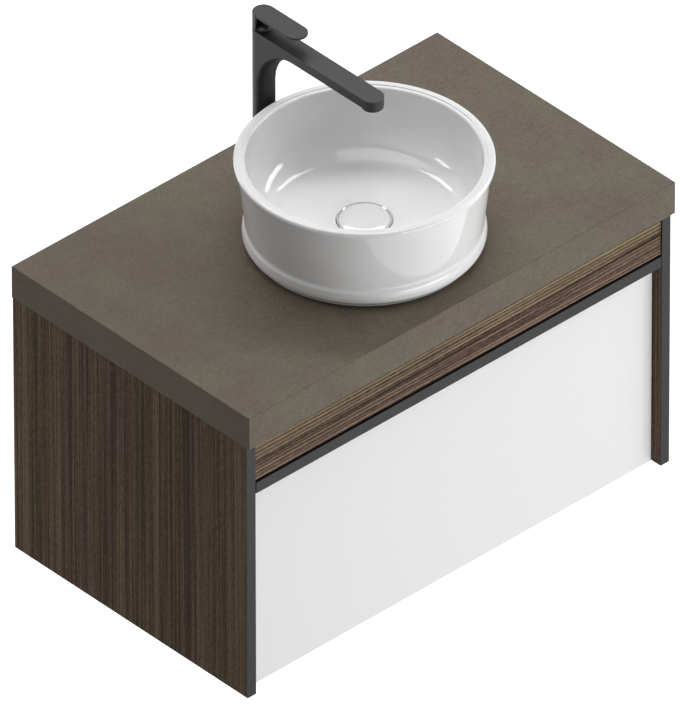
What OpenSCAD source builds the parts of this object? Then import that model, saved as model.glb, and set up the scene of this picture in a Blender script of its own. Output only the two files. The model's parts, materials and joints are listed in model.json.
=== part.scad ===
// Wall-hung vanity: two-sided board cabinet with one grip-rail drawer, stone-look top,
// round vessel basin with push waste and bottle trap, and a tall single-lever mixer.
// Millimetres. X = 0 is the middle, Y = 0 the wall (the front is at -Y), Z = 0 the cabinet's underside.

/* [Cabinet] */
// Width over the two side panels
body_w = 796; // [700:1:1200]
// Depth from the wall to the face of the front frame
body_d = 473; // [470:1:560]
// Height of the side panels
body_h = 430; // [420:1:560]
// Thickness of every carcass board
board_t = 16; // [15:0.5:19]
// Thickness of the metal edging on the side panels
edging_t = 2; // [1:0.5:3]
// Visible height of the fascia under the top
fascia_h = 67; // [50:1:90]
// How far the fascia lies behind the front frame
fascia_recess = 3; // [2:0.5:8]
// Clear depth kept behind the rear rails for the wall plates
rail_inset = 20; // [18:1:30]
// Height of the two rear rails
rail_h = 90; // [80:1:110]
// Depth of the flat stretcher behind the fascia
stretcher_d = 80; // [70:1:100]

/* [Drawer] */
// Shadow gap between the fascia and the grip rail
shadow_gap = 2; // [1:0.5:5]
// Height of the grip rail
grip_h = 18; // [15:1:30]
// Sheet thickness of the grip rail
grip_t = 2; // [1.2:0.2:3]
// How far the white front lies behind the front frame
front_recess = 17.6; // [14:0.2:24]
// Thickness of the white front
front_t = 18; // [16:1:22]
// Gap at each side of the front
front_gap = 2; // [1:0.5:4]
// Gap under the front
front_lift = 1; // [0:0.5:6]
// Gap at each end of the grip rail
grip_gap = 1.5; // [1:0.5:4]
// Thickness of the drawer's side, back and frame boards
box_t = 12; // [10:1:16]
// Height of the drawer's sides
box_side_h = 200; // [160:5:240]
// Height of the drawer's back and of the frame round the trap
box_back_h = 160; // [120:5:200]
// Thickness of the drawer's floor
box_floor_t = 8; // [6:1:12]
// Width of the cut-out that clears the trap
notch_w = 170; // [120:5:240]
// Clear depth between the drawer's back and the rear rails
box_back_gap = 18; // [10:1:60]
// Length of each runner
runner_l = 380; // [360:5:400]
// Height of a runner
runner_h = 45; // [40:1:50]
// Width taken by a runner between cabinet and drawer
runner_w = 13; // [13:0.5:16]
// Sheet thickness of the runner members
runner_t = 1.4; // [1.2:0.1:1.6]

/* [Countertop] */
// How far the top passes each side of the cabinet
top_over_side = 2; // [0:0.5:12]
// How far the top passes the front frame
top_over_front = 7; // [0:0.5:20]
// Height of the top's edge
top_h = 53; // [40:1:70]
// Thickness of the stone-look plates
plate_t = 12; // [6:1:16]

/* [Basin] */
// Distance of the basin's centre from the wall
basin_from_wall = 281.4; // [275:0.2:285]
// Outer radius of the rim
rim_r = 180; // [170:1:185]
// Height of the basin from its seat to the rim
basin_h = 135.5; // [115:0.5:160]
// Height of the rolled bead at the rim
bead_h = 8.5; // [6:0.5:11]
// How far the bead stands out from the wall under it
bead_over = 4.5; // [3.5:0.5:6]
// Width of the whole rim, from the bead to the bowl
rim_w = 16; // [14:0.5:18]
// How much the outer wall tapers in from the rim to the foot
wall_taper = 10; // [5:0.5:14]
// How far the foot ring stands out from the foot of the wall
foot_over = 3; // [1:0.5:5]
// Height of the foot ring
foot_h = 29; // [22:1:36]
// Radius that rounds the foot ring under its side
foot_round = 16; // [8:1:18]
// How much the bowl narrows from the rim to its fillet
bowl_taper = 6; // [2:0.5:10]
// Radius between the bowl's wall and its floor
bowl_round = 38; // [25:1:45]
// Height of the bowl's floor at the fillet, over the seat
floor_z = 34; // [30:0.5:42]
// Fall of the floor from the fillet to the waste
floor_fall = 4; // [2:0.5:6]
// Thickness of the floor
floor_t = 11; // [8:0.5:13]
// Thickness of the sealant under the basin
seal_t = 1; // [0.5:0.5:3]

/* [Waste and trap] */
// Outer radius of the waste's rim
waste_rim_r = 38.8; // [34:0.2:40]
// Outer radius of the waste's barrel
waste_r = 22.5; // [20:0.5:24]
// Wall of the waste's barrel
waste_wall = 5; // [4:0.5:6]
// Length of the barrel below the countertop
waste_below = 45; // [38:1:55]
// How far the push plug rises
plug_travel = 9; // [5:0.5:12]
// Outer radius of the tailpiece and of the outlet pipe
pipe_r = 16; // [14:0.5:17]
// Wall of the pipes
pipe_wall = 1.5; // [1:0.25:2.5]
// Height of the outlet pipe's axis over the cabinet's underside
outlet_z = 290; // [270:1:310]
// Outer radius of the bottle trap
trap_r = 30; // [28:1:36]
// Wall of the trap's mouldings
trap_wall = 2.5; // [2:0.25:4]
// How far the trap's cup hangs under the outlet's axis
trap_drop = 85; // [70:1:100]

/* [Mixer] */
// Distance of the mixer's axis from the wall
tap_from_wall = 78.8; // [74:0.2:90]
// Radius of the column, of the spout's sides and of the lever's ends
tap_r = 16; // [15.5:0.1:18]
// Height of the spout's top over the countertop
spout_z = 249; // [220:1:320]
// Distance from the column's axis to the outlet's axis
spout_reach = 219; // [180:1:240]
// Thickness of the spout
spout_t = 13.5; // [12:0.5:16]
// Radius under the spout where it meets the column
spout_fillet = 32; // [20:1:40]
// How far the outlet collar stands under the spout
collar_h = 4.3; // [3:0.1:6]
// Gap between the column's top and the lever's skirt
lever_gap = 2; // [2:0.1:3]
// Height of the lever's top over the spout's top
lever_rise = 27; // [24:0.5:32]
// Thickness of the lever's blade
lever_t = 3; // [2.5:0.1:4]
// Distance between the centres of the blade's round ends
lever_l = 66; // [50:1:80]
// Wall of the lever's skirt
skirt_wall = 2.7; // [2.2:0.1:2.8]
// Largest tilt of the lever, in degrees
lever_tilt = 18; // [10:1:18]
// Radius of the hole for the mixer in the top
tap_hole_r = 17.5; // [16.5:0.1:18]
// Radius of the mixer's base ring
base_ring_r = 23.5; // [21:0.5:26]
// Height of the base ring
base_ring_h = 4; // [2:0.5:8]

/* [Fittings] */
// Radius of the wall bolts' holes
wall_hole_r = 3.5; // [3:0.25:4.5]
// Distance between the two bolts of one wall plate
wall_hole_step = 32; // [25:1:40]
// Radius of the dowels
dowel_r = 4; // [3:0.5:4]
// Length of a dowel
dowel_l = 30; // [24:1:34]
// Radius of a cam housing
cam_r = 7.5; // [6:0.5:8]
// Distance of a cam from the end of its board
cam_reach = 24; // [20:1:34]
// Clearance round a part that seats in a hole or groove
seat_gap = 0.15; // [0.1:0.05:0.3]
// Clearance between parts that slide past each other
slide_gap = 0.4; // [0.3:0.1:0.6]
// Radial clearance of a turning or guided pin
run_gap = 0.06; // [0.03:0.01:0.1]

/* [Hidden] */
$fn = 64;
EPS = 0.01;   // how far a cutter passes the face that it opens

// Main planes of the cabinet
half_in = body_w / 2 - board_t;          // inner face of a side panel
front_y = -body_d;                       // face of the front frame
fascia_y = front_y + fascia_recess;
fascia_z = body_h - fascia_h;
rail_top_z = fascia_z - shadow_gap;      // top of the grip rail
rail_low_z = rail_top_z - grip_h;
white_y = front_y + front_recess;        // face of the white front
white_back_y = white_y + front_t;
bottom_front_y = white_back_y + 3;       // front edge of the bottom panel
rear_y = -rail_inset;                    // rear face of the rear rails
rail_front_y = rear_y - board_t;

stretcher_mid_y = fascia_y + board_t + stretcher_d / 2;
edging_barb = 3;                         // length of the edging's barb
edging_barb_t = 1.6;                     // and its thickness

// Countertop
top_z = body_h + top_h;
top_half = body_w / 2 + top_over_side;
top_front_y = -(body_d + top_over_front);
core_z = body_h + top_h - plate_t;       // top of the core board

// Basin, seen from its own seat
seat_z = top_z + seal_t;
basin_y = -basin_from_wall;
wall_top_r = rim_r - bead_over;
wall_foot_r = wall_top_r - wall_taper;
foot_r = wall_foot_r + foot_over;
foot_wall = 22;                          // width of the foot ring
foot_in_r = foot_r - foot_wall;
foot_edge = 5;                           // radius at the foot ring's upper edge
foot_turn = 80;                          // how far the foot's rounding turns under, in degrees
foot_base_r = foot_r - foot_round * (1 - cos(foot_turn));
shoulder = 10.5;                         // from the bead to the step inside the rim
step_h = 1.2;                            // height of that step
lip_round = 3.5;                         // radius between the rim and the bowl
bowl_r = rim_r - rim_w - bowl_taper;
drain_z = floor_z - floor_fall;
recess_r = waste_rim_r + 0.4;
recess_d = 7;
boss_r = recess_r + 5;
waste_hole_r = waste_r + 1;

// Waste, seen from the bowl's floor at the drain
drain_top_z = seat_z + drain_z;
gasket_t = 2;
dish_t = 2;
dish_z = drain_top_z - recess_d + gasket_t;     // underside of the waste's flange
plug_r = waste_rim_r - 2.8;
plug_z = dish_z + dish_t + 1.2;                 // underside of the closed plug
plug_edge_z = drain_top_z + 0.6 - plug_z;       // height of the plug's edge
waste_low_z = body_h - waste_below;
waste_in_r = waste_r - waste_wall;
stem_r = 3;
guide_z = dish_z - 24;
guide_h = 10;
nut_h = 10;
nut_top_z = body_h - 3;

// Trap
trap_rise = 34;                                  // from the outlet's axis to the body's shoulder
cup_drop = 26;                                   // from the outlet's axis to the cup's edge
cup_wall = 2.5;
cup_floor = 3;
cup_lap = 14;                                    // how far the body reaches into the cup
trap_top_z = outlet_z + trap_rise;
trap_low_z = outlet_z - trap_drop;
cup_top_z = outlet_z - cup_drop;
cup_r = trap_r + cup_wall;
neck_wall = 5;
neck_r = pipe_r + neck_wall;
neck_h = 12;
nut_wall = 4;
nut_r = neck_r + nut_wall;
nut_l = 16;
nut_end = 3;                                     // thickness of a union nut's closed end
nut_gap = 3;                                     // between the trap's body and its outlet nut
tail_lap = 24;                                   // how far the tailpiece reaches into the waste
tail_top_z = waste_low_z + tail_lap;
tail_low_z = trap_low_z + 20;
stub_l = 16;
spigot_step = 0.7;                               // how much slimmer the pipe is where it enters the trap
spigot_out = 5;                                  // how far that end shows behind the nut
spigot_l = trap_wall + nut_gap + nut_l + spigot_out;
wall_pipe_l = basin_from_wall - trap_r + trap_wall - spigot_l;
pipe_clear = 4;                                  // round the outlet pipe, where a board is in its way

// Mixer, seen from the countertop's top
tap_y = -tap_from_wall;
tap_low_z = top_z + base_ring_h;
column_top_z = top_z + spout_z;
spout_low_z = column_top_z - spout_t;
lever_top_z = column_top_z + lever_rise;
blade_low_z = lever_top_z - lever_t;
chamber_r = tap_r - 3;
cartridge_r = chamber_r - 0.1;
cartridge_h = 42;
cartridge_low_z = column_top_z - 3 - cartridge_h;
head_r = 10.5;
pivot_z = column_top_z - 19;
pivot_r = 1.5;
spindle_x = 3;
spindle_y = 3;
dome_r = 12.6;
dome_rim_r = 13.5;
dome_h = 8;
inlet_x = 7.5;
inlet_y = -4;
inlet_r = 5;
inlet_l = 12;
stud_r = 4;
stud_back = 8.5;
stud_l = 14;
column_edge = 0.8;
skirt_front = -0.5;                      // where the lever's skirt ends, from the column's axis
socket_wall = 2.6;                       // wall of the lever's socket round the spindle
socket_gap = 0.1;
socket_low_z = column_top_z + dome_h + 4;
grub_z = column_top_z + 17;
grub_r = 2.5;
index_r = 3.2;
aerator_r = 11;
aerator_h = 12;

// Runner sections, measured in from the side panel
runner_z = 92;                                   // middle of a runner's height
box_half = half_in - runner_w;                   // outer face of a drawer side
box_low_z = 40;
box_floor_z = box_low_z + 6;
box_groove = 6;
box_back_y = rail_front_y - box_back_gap;
notch_clear = 30;
notch_y = basin_y - cup_r - notch_clear;         // front end of the cut-out
runner_back_y = white_back_y + runner_l;
middle_h = runner_h - 2 * (runner_t + slide_gap);
drawer_h = middle_h - 2 * (runner_t + slide_gap);

web_mid = runner_t + slide_gap;                  // outer face of a middle member's web
runner_screw_in = 40;                            // first and last screw, from a runner's ends
runner_screw_back = 30;
runner_screw_y = [white_back_y + runner_screw_in, white_back_y + runner_l / 2,
                  runner_back_y - runner_screw_back];

// Front fixings
grip_flange_h = 24;
grip_screw_up = 7;                               // over the flange's lower edge
grip_screw_end = 40;                             // last screw, from the cabinet's side
grip_screw_z = rail_top_z - grip_flange_h + grip_screw_up;
grip_screw_x = [for (i = [-3:3]) i * (half_in - grip_screw_end) / 3];
angle_t = 2;                                     // angles that hold the front to the box
angle_w = 24;
angle_d = 26;
angle_lift = 2;
angle_below = 8;
angle_screw_in = 14;
angle_screw_low = 50;
angle_screw_high = 30;
bracket_screw_x = box_half - box_t - angle_screw_in;
bracket_screw_z = [box_low_z + angle_screw_low, box_low_z + box_side_h - angle_screw_high];
screw_r = 2;
screw_bite = 11;                                 // how far a screw goes into a board
pilot = screw_bite + 1;                          // depth of the hole for it

// Board joints: [Y, Z] of each dowel, and [Y, Z, turn about X] of each cam.
// Turn 0 opens the cam's pocket upwards, 180 downwards, 90 to the front and -90 to the wall.
low_z = board_t / 2;
stretcher_z = body_h - board_t / 2;
rail_y = rear_y - board_t / 2;
fascia_mid_y = fascia_y + board_t / 2;
lower_rail_z = board_t;
upper_rail_z = body_h - rail_h;
joint_in = 10;                           // first joint of the lower rail, from its edge
joint_step = 16;                         // and the next ones, all lower than the runners
end_joint = 60;                          // bottom panel's dowels, from its front and the wall
end_cam = 110;                           // and its cams
upper_joint = 14;                        // upper rail's dowels, from its edges
upper_cam = 30;
fascia_joint = 12;                       // fascia's dowels, from its edges
stretcher_joint = 14;                    // stretcher's dowel and cam, from its rear edge
stretcher_cam = 40;
DOWELS = [
    [-end_joint, low_z], [bottom_front_y + end_joint, low_z],
    [rail_y, lower_rail_z + joint_in], [rail_y, lower_rail_z + joint_in + 2 * joint_step],
    [rail_y, upper_rail_z + upper_joint], [rail_y, body_h - upper_joint],
    [fascia_y + board_t + stretcher_d - stretcher_joint, stretcher_z],
    [fascia_mid_y, fascia_z + fascia_joint], [fascia_mid_y, body_h - fascia_joint]
];
CAMS = [
    [-end_cam, low_z, 0], [bottom_front_y + end_cam, low_z, 0],
    [rail_y, lower_rail_z + joint_in + joint_step, 90], [rail_y, upper_rail_z + upper_cam, 90],
    [fascia_y + board_t + stretcher_d - stretcher_cam, stretcher_z, 180],
    [fascia_mid_y, fascia_z + fascia_h / 2, -90]
];
cam_depth = board_t - 3.5;
cam_bolt_r = 3;
cam_thread_r = 2.5;
cam_thread_l = 10.5;

// Hangers
plate_steel = 3;
hanger_w = 18;
hanger_d = 50;
hanger_h = 56;
hanger_z = body_h - 8 - hanger_h;
hanger_front_y = rail_front_y - hanger_d;
hanger_screw_y = hanger_front_y + 12;
hanger_screw_z = [hanger_z + 10, hanger_z + hanger_h - 10];
hook_t = 3;
hook_x = half_in - 10;                           // outer face of a hook
hook_z = hanger_z + 14;
hook_h = 26;
wall_plate_w = 60;
wall_plate_h = 62;
wall_plate_z = hook_z - 34;
wall_plate_x = half_in - 2 - wall_plate_w;       // inner end of a wall plate
wall_hole_x = wall_plate_x + 14;
wall_hole_z = wall_plate_z + wall_plate_h / 2 - 6;
lip_y = -11;                                     // front face of a wall plate's lip
lip_h = 12;
lip_from = 28;                                   // where a lip starts, from the plate's inner end

// Worktop fixings
bracket_x = 250;
bracket_w = 30;
bracket_l = 30;
bracket_t = 2.5;
top_bite = 14;                                   // how far a screw goes into the top's core
stretcher_screws = [-260, 0, 260];

function arc(c, r, a0, a1, n = 8) =
    [for (i = [0:n]) let (a = a0 + (a1 - a0) * i / n) c + r * [cos(a), sin(a)]];

// ---------- helpers ----------

// A box given by its two corners
module block(a, b) {
    translate([min(a[0], b[0]), min(a[1], b[1]), min(a[2], b[2])])
        cube([abs(b[0] - a[0]), abs(b[1] - a[1]), abs(b[2] - a[2])]);
}

// The child and its mirror image on the other side
module both_sides() {
    children();
    mirror([1, 0, 0]) children();
}

// A cylinder along Y that starts at y and runs towards the wall
module bar_y(r, l) { rotate([-90, 0, 0]) cylinder(r = r, h = l); }

// A cylinder along X that starts at x
module bar_x(r, l) { rotate([0, 90, 0]) cylinder(r = r, h = l); }

// A ring round the Z axis
module tube(r, inner_r, h) {
    difference() {
        cylinder(r = r, h = h);
        translate([0, 0, -EPS]) cylinder(r = inner_r, h = h + 2 * EPS);
    }
}

// Holes that the left-hand joints need in a board, for the side panel and for the member
module joint_holes() {
    for (d = DOWELS)
        translate([-half_in - dowel_l / 2 - 0.5, d[0], d[1]]) bar_x(dowel_r + seat_gap, dowel_l + 1);
    for (c = CAMS)
        translate([-half_in, c[0], c[1]]) rotate([c[2], 0, 0]) {
            translate([-cam_thread_l - 0.5, 0, 0]) bar_x(cam_thread_r + seat_gap, cam_thread_l + 1);
            bar_x(cam_bolt_r + seat_gap, cam_reach);
            translate([cam_reach, 0, -board_t / 2 + board_t - cam_depth])
                cylinder(r = cam_r + seat_gap, h = cam_depth + EPS);
        }
}

// ---------- cabinet ----------

module side_panel() {
    color("#463c35") difference() {
        block([-body_w / 2, front_y + edging_t, 0], [-half_in, 0, body_h]);
        block([-half_in - board_t / 2 - edging_barb_t / 2 - 0.05, front_y, -EPS],
              [-half_in - board_t / 2 + edging_barb_t / 2 + 0.05,
               front_y + edging_t + edging_barb + 0.5, body_h + EPS]);
        joint_holes();
        for (z = hanger_screw_z) translate([-half_in - pilot, hanger_screw_y, z])
            bar_x(screw_r + 0.05, pilot + EPS);
        for (y = runner_screw_y) translate([-half_in - pilot, y, runner_z])
            bar_x(screw_r + 0.05, pilot + EPS);
    }
}
module side_panel_left() { side_panel(); }
module side_panel_right() { mirror([1, 0, 0]) side_panel(); }

module edging() {
    color("#3f4042") {
        block([-body_w / 2, front_y, 0], [-half_in, front_y + edging_t, body_h]);
        block([-half_in - board_t / 2 - edging_barb_t / 2, front_y + edging_t - 0.5, 0],
              [-half_in - board_t / 2 + edging_barb_t / 2, front_y + edging_t + edging_barb, body_h]);
    }
}
module edging_left() { edging(); }
module edging_right() { mirror([1, 0, 0]) edging(); }

module bottom_panel() {
    color("#4a4038") difference() {
        block([-half_in, bottom_front_y, 0], [half_in, 0, board_t]);
        both_sides() joint_holes();
    }
}

module rear_rail_upper() {
    color("#4a4038") difference() {
        block([-half_in, rail_front_y, upper_rail_z], [half_in, rear_y, body_h]);
        both_sides() joint_holes();
        both_sides() block([-hook_x - 1.5, rail_front_y - 1, hook_z - 4],
                           [-hook_x + hook_t + 1.5, rear_y + 1, hook_z + hook_h + 4]);
        both_sides() translate([-bracket_x, rail_front_y - EPS, body_h - bracket_l / 2])
            bar_y(screw_r, pilot);
        translate([0, rail_front_y - 1, outlet_z]) bar_y(pipe_r + pipe_clear, board_t + 2);
    }
}
module rear_rail_lower() {
    color("#4a4038") difference() {
        block([-half_in, rail_front_y, lower_rail_z], [half_in, rear_y, lower_rail_z + rail_h]);
        both_sides() joint_holes();
        both_sides() block([-half_in - 1, white_back_y, runner_z - runner_h / 2 - slide_gap],
                           [-half_in + runner_w + slide_gap, runner_back_y + slide_gap,
                            runner_z + runner_h / 2 + slide_gap]);
    }
}
module front_stretcher() {
    color("#4a4038") difference() {
        block([-half_in, fascia_y + board_t, body_h - board_t],
              [half_in, fascia_y + board_t + stretcher_d, body_h]);
        both_sides() joint_holes();
        for (x = stretcher_screws)
            translate([x, fascia_y + board_t + stretcher_d / 2, body_h - board_t - EPS])
                cylinder(r = screw_r + 0.3, h = board_t + 2 * EPS);
    }
}
module fascia_panel() {
    color("#5b4f45") difference() {
        block([-half_in, fascia_y, fascia_z], [half_in, fascia_y + board_t, body_h]);
        both_sides() joint_holes();
    }
}

module dowels() {
    color("#c9a777") both_sides() for (d = DOWELS)
        translate([-half_in - dowel_l / 2, d[0], d[1]]) bar_x(dowel_r, dowel_l);
}
module cam_bolts() {
    color("#b9bcbe") both_sides() for (c = CAMS) translate([-half_in, c[0], c[1]]) {
        translate([-cam_thread_l, 0, 0]) bar_x(cam_thread_r, cam_thread_l);
        bar_x(cam_bolt_r, cam_reach - 1);
    }
}
module cam_housings() {
    color("#a7a9ab") both_sides() for (c = CAMS)
        translate([-half_in, c[0], c[1]]) rotate([c[2], 0, 0]) difference() {
            translate([cam_reach, 0, board_t / 2 - cam_depth]) cylinder(r = cam_r, h = cam_depth - 0.2);
            bar_x(cam_bolt_r + seat_gap, cam_reach);
        }
}

// ---------- hangers ----------

module hanger_housings() {
    color("#d9d9d6") both_sides() difference() {
        block([-half_in, hanger_front_y, hanger_z],
              [-half_in + hanger_w, rail_front_y, hanger_z + hanger_h]);
        block([-hook_x - seat_gap, hanger_front_y + 8, hook_z - seat_gap],
              [-hook_x + hook_t + seat_gap, rail_front_y + 1, hook_z + hook_h + seat_gap]);
        for (z = hanger_screw_z) translate([-half_in - EPS, hanger_screw_y, z])
            bar_x(screw_r + seat_gap, hanger_w + 1);
    }
}

// Flat hook that hangs over the wall plate's lip
module hook_outline() {
    difference() {
        translate([hanger_front_y + 10, hook_z]) square([-hanger_front_y - 10 - plate_steel - 1, hook_h]);
        translate([lip_y - seat_gap, hook_z - 1])
            square([plate_steel + 2 * seat_gap, lip_h - 1 + seat_gap + 1]);
        translate([lip_y, hook_z - 1]) square([30, 4]);
    }
}
module hanger_hooks() {
    color("#b9bcbe") both_sides()
        translate([-hook_x, 0, 0]) rotate([90, 0, 90]) linear_extrude(hook_t) hook_outline();
}

module wall_plates() {
    color("#b9bcbe") both_sides() difference() {
        union() {
            block([-wall_plate_x - wall_plate_w, -plate_steel, wall_plate_z],
                  [-wall_plate_x, 0, wall_plate_z + wall_plate_h]);
            block([-wall_plate_x - wall_plate_w, lip_y, hook_z - plate_steel],
                  [-wall_plate_x - lip_from, -plate_steel + EPS, hook_z]);
            block([-wall_plate_x - wall_plate_w, lip_y, hook_z - plate_steel],
                  [-wall_plate_x - lip_from, lip_y + plate_steel, hook_z - 1 + lip_h]);
        }
        for (s = [-1, 1])
            translate([-wall_hole_x, -plate_steel - EPS, wall_hole_z + s * wall_hole_step / 2])
                bar_y(wall_hole_r, plate_steel + 2 * EPS);
    }
}

// ---------- countertop ----------

// Outline that mitres the plates at the front corners, extruded over the whole height
module mitre_plan(points) {
    translate([0, 0, body_h - 1]) linear_extrude(top_h + 2) polygon(points);
}

// Outlines in the XZ plane, carried from the wall to the front
module across(points) {
    rotate([90, 0, 0]) linear_extrude(-top_front_y) polygon(points);
}

// Outlines in the YZ plane, carried over the whole width
module along(points) {
    translate([-top_half, 0, 0]) rotate([90, 0, 90]) linear_extrude(2 * top_half) polygon(points);
}

module top_holes() {
    translate([0, tap_y, body_h - 1]) cylinder(r = tap_hole_r, h = top_h + 2);
    translate([0, basin_y, body_h - 1]) cylinder(r = waste_r + 2.5, h = top_h + 2);
}

module countertop_plate() {
    color("#6e675f") difference() {
        intersection() {
            across([[-top_half, top_z], [top_half, top_z],
                    [top_half - plate_t, core_z], [-top_half + plate_t, core_z]]);
            along([[0, core_z], [0, top_z], [top_front_y, top_z], [top_front_y + plate_t, core_z]]);
        }
        top_holes();
    }
}
module countertop_edge_front() {
    color("#6a635b") intersection() {
        along([[top_front_y, body_h], [top_front_y + plate_t, body_h],
               [top_front_y + plate_t, core_z], [top_front_y, top_z]]);
        mitre_plan([[-top_half, top_front_y], [top_half, top_front_y],
                    [top_half - plate_t, top_front_y + plate_t],
                    [-top_half + plate_t, top_front_y + plate_t]]);
    }
}
module countertop_edge_side() {
    color("#665f58") intersection() {
        across([[-top_half, body_h], [-top_half + plate_t, body_h],
                [-top_half + plate_t, core_z], [-top_half, top_z]]);
        mitre_plan([[-top_half, 0], [-top_half + plate_t, 0],
                    [-top_half + plate_t, top_front_y + plate_t], [-top_half, top_front_y]]);
    }
}
module countertop_edge_left() { countertop_edge_side(); }
module countertop_edge_right() { mirror([1, 0, 0]) countertop_edge_side(); }

module countertop_core() {
    color("#8a7b66") difference() {
        block([-top_half + plate_t, top_front_y + plate_t, body_h], [top_half - plate_t, 0, core_z]);
        top_holes();
        for (x = stretcher_screws) translate([x, stretcher_mid_y, body_h - EPS])
            cylinder(r = screw_r + 0.05, h = top_bite + 1);
        both_sides() translate([-bracket_x, rail_front_y - bracket_l / 2, body_h - EPS])
            cylinder(r = screw_r + 0.05, h = top_bite + 1);
    }
}

module top_brackets() {
    color("#b9bcbe") both_sides() difference() {
        union() {
            block([-bracket_x - bracket_w / 2, rail_front_y - bracket_t, body_h - bracket_l],
                  [-bracket_x + bracket_w / 2, rail_front_y, body_h]);
            block([-bracket_x - bracket_w / 2, rail_front_y - bracket_l, body_h - bracket_t],
                  [-bracket_x + bracket_w / 2, rail_front_y, body_h]);
        }
        translate([-bracket_x, rail_front_y - bracket_l / 2, body_h - bracket_t - EPS])
            cylinder(r = screw_r + seat_gap, h = bracket_t + 2 * EPS);
        translate([-bracket_x, rail_front_y - bracket_t - EPS, body_h - bracket_l / 2])
            bar_y(screw_r + seat_gap, bracket_t + 2 * EPS);
    }
}

// Pan-head screw that points along +Z, with its head under Z = 0
module screw(l) {
    translate([0, 0, -EPS]) cylinder(r = screw_r, h = l + EPS);
    translate([0, 0, -screw_r]) cylinder(r = 2 * screw_r, h = screw_r);
}
module top_screws() {
    color("#b9bcbe") {
        for (x = stretcher_screws)
            translate([x, stretcher_mid_y, body_h - board_t]) screw(board_t + top_bite);
        both_sides() {
            translate([-bracket_x, rail_front_y - bracket_l / 2, body_h - bracket_t])
                screw(bracket_t + top_bite);
            translate([-bracket_x, rail_front_y - bracket_t, body_h - bracket_l / 2])
                rotate([-90, 0, 0]) screw(bracket_t + screw_bite);
        }
    }
}

// ---------- basin ----------

function basin_outline() = concat(
    [[foot_in_r, 0], [foot_base_r, 0]],
    arc([foot_r - foot_round, foot_round + 1], foot_round, -foot_turn, 0),
    arc([foot_r - foot_edge, foot_h - foot_edge], foot_edge, 0, acos(1 - foot_over / foot_edge), 5),
    [[wall_top_r, basin_h - bead_h]],
    arc([rim_r - bead_h / 2, basin_h - bead_h / 2], bead_h / 2, -90, 90, 12),
    [[rim_r - shoulder, basin_h], [rim_r - shoulder - step_h / 2, basin_h - step_h]],
    arc([rim_r - rim_w + lip_round, basin_h - step_h - lip_round], lip_round, 90, 180, 6),
    arc([bowl_r - bowl_round, floor_z + bowl_round], bowl_round, 0, -90, 12),
    [[recess_r, drain_z], [recess_r, drain_z - recess_d], [waste_hole_r, drain_z - recess_d],
     [waste_hole_r, 0], [boss_r, 0], [boss_r, drain_z - floor_t],
     [bowl_r - bowl_round, floor_z - floor_t], [foot_in_r, floor_z - floor_t]]
);

module basin() {
    color("#f2f1ef") translate([0, basin_y, seat_z]) rotate_extrude($fn = 128) polygon(basin_outline());
}
module basin_sealant() {
    color("#d8d8d4") translate([0, basin_y, top_z]) {
        tube(foot_base_r - 1, foot_in_r + 2, seal_t);
        tube(boss_r - 1, waste_r + 5, seal_t);
    }
}

// ---------- waste ----------

function waste_outline() = [
    [pipe_r + seat_gap, waste_low_z], [waste_r, waste_low_z], [waste_r, dish_z],
    [waste_rim_r, dish_z], [waste_rim_r, drain_top_z + 0.2], [waste_rim_r - 0.6, drain_top_z + 0.8],
    [plug_r + 1, drain_top_z + 0.8], [plug_r + 0.4, drain_top_z + 0.2],
    [plug_r + 0.4, dish_z + dish_t], [waste_in_r, dish_z + dish_t],
    [waste_in_r, tail_top_z + 1], [pipe_r + seat_gap, tail_top_z + 1]
];

module waste_body() {
    color("#c6c8ca") translate([0, basin_y, 0]) {
        rotate_extrude() polygon(waste_outline());
        translate([0, 0, guide_z]) difference() {
            union() {
                cylinder(r = 2 * stem_r + 0.5, h = guide_h);
                for (a = [0:120:240]) rotate([0, 0, a])
                    translate([0, -1.5, 0]) cube([waste_in_r + 0.5, 3, guide_h]);
            }
            translate([0, 0, -EPS]) cylinder(r = stem_r + run_gap, h = guide_h + 2 * EPS);
        }
    }
}
module waste_gaskets() {
    color("#2a2a2a") translate([0, basin_y, 0]) {
        translate([0, 0, dish_z - gasket_t]) tube(waste_rim_r - 1, waste_hole_r + 0.5, gasket_t);
        translate([0, 0, nut_top_z]) tube(waste_r + 13, waste_r + 0.2, body_h - nut_top_z);
    }
}
module waste_backnut() {
    color("#d8d8d4") translate([0, basin_y, nut_top_z - nut_h]) difference() {
        union() {
            cylinder(r = waste_r + 10, h = nut_h, $fn = 6);
            translate([0, 0, nut_h - 3]) cylinder(r = waste_r + 12, h = 3);
        }
        translate([0, 0, -EPS]) cylinder(r = waste_r + seat_gap, h = nut_h + 2 * EPS);
    }
}

module plug_cap() {
    color("#f2f1ef") translate([0, basin_y, plug_z]) rotate_extrude()
        polygon([[0, 0], [plug_r - 1, 0], [plug_r, 0.8], [plug_r, plug_edge_z],
                 [plug_r - 0.8, plug_edge_z + 0.7], [plug_r * 0.75, plug_edge_z + 1.4],
                 [plug_r * 0.4, plug_edge_z + 1.9], [0, plug_edge_z + 2.1]]);
}
module plug_seal() {
    color("#2a2a2a") translate([0, basin_y, plug_z - 0.9]) tube(plug_r - 3, plug_r - 9, 0.9);
}
module plug_stem() {
    color("#b9bcbe") translate([0, basin_y, 0]) {
        translate([0, 0, guide_z - plug_travel])
            cylinder(r = stem_r, h = plug_z - guide_z + plug_travel);
        translate([0, 0, plug_z - 1.6]) cylinder(r = 3 * stem_r, h = 1.6);
    }
}

// ---------- trap ----------

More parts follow.
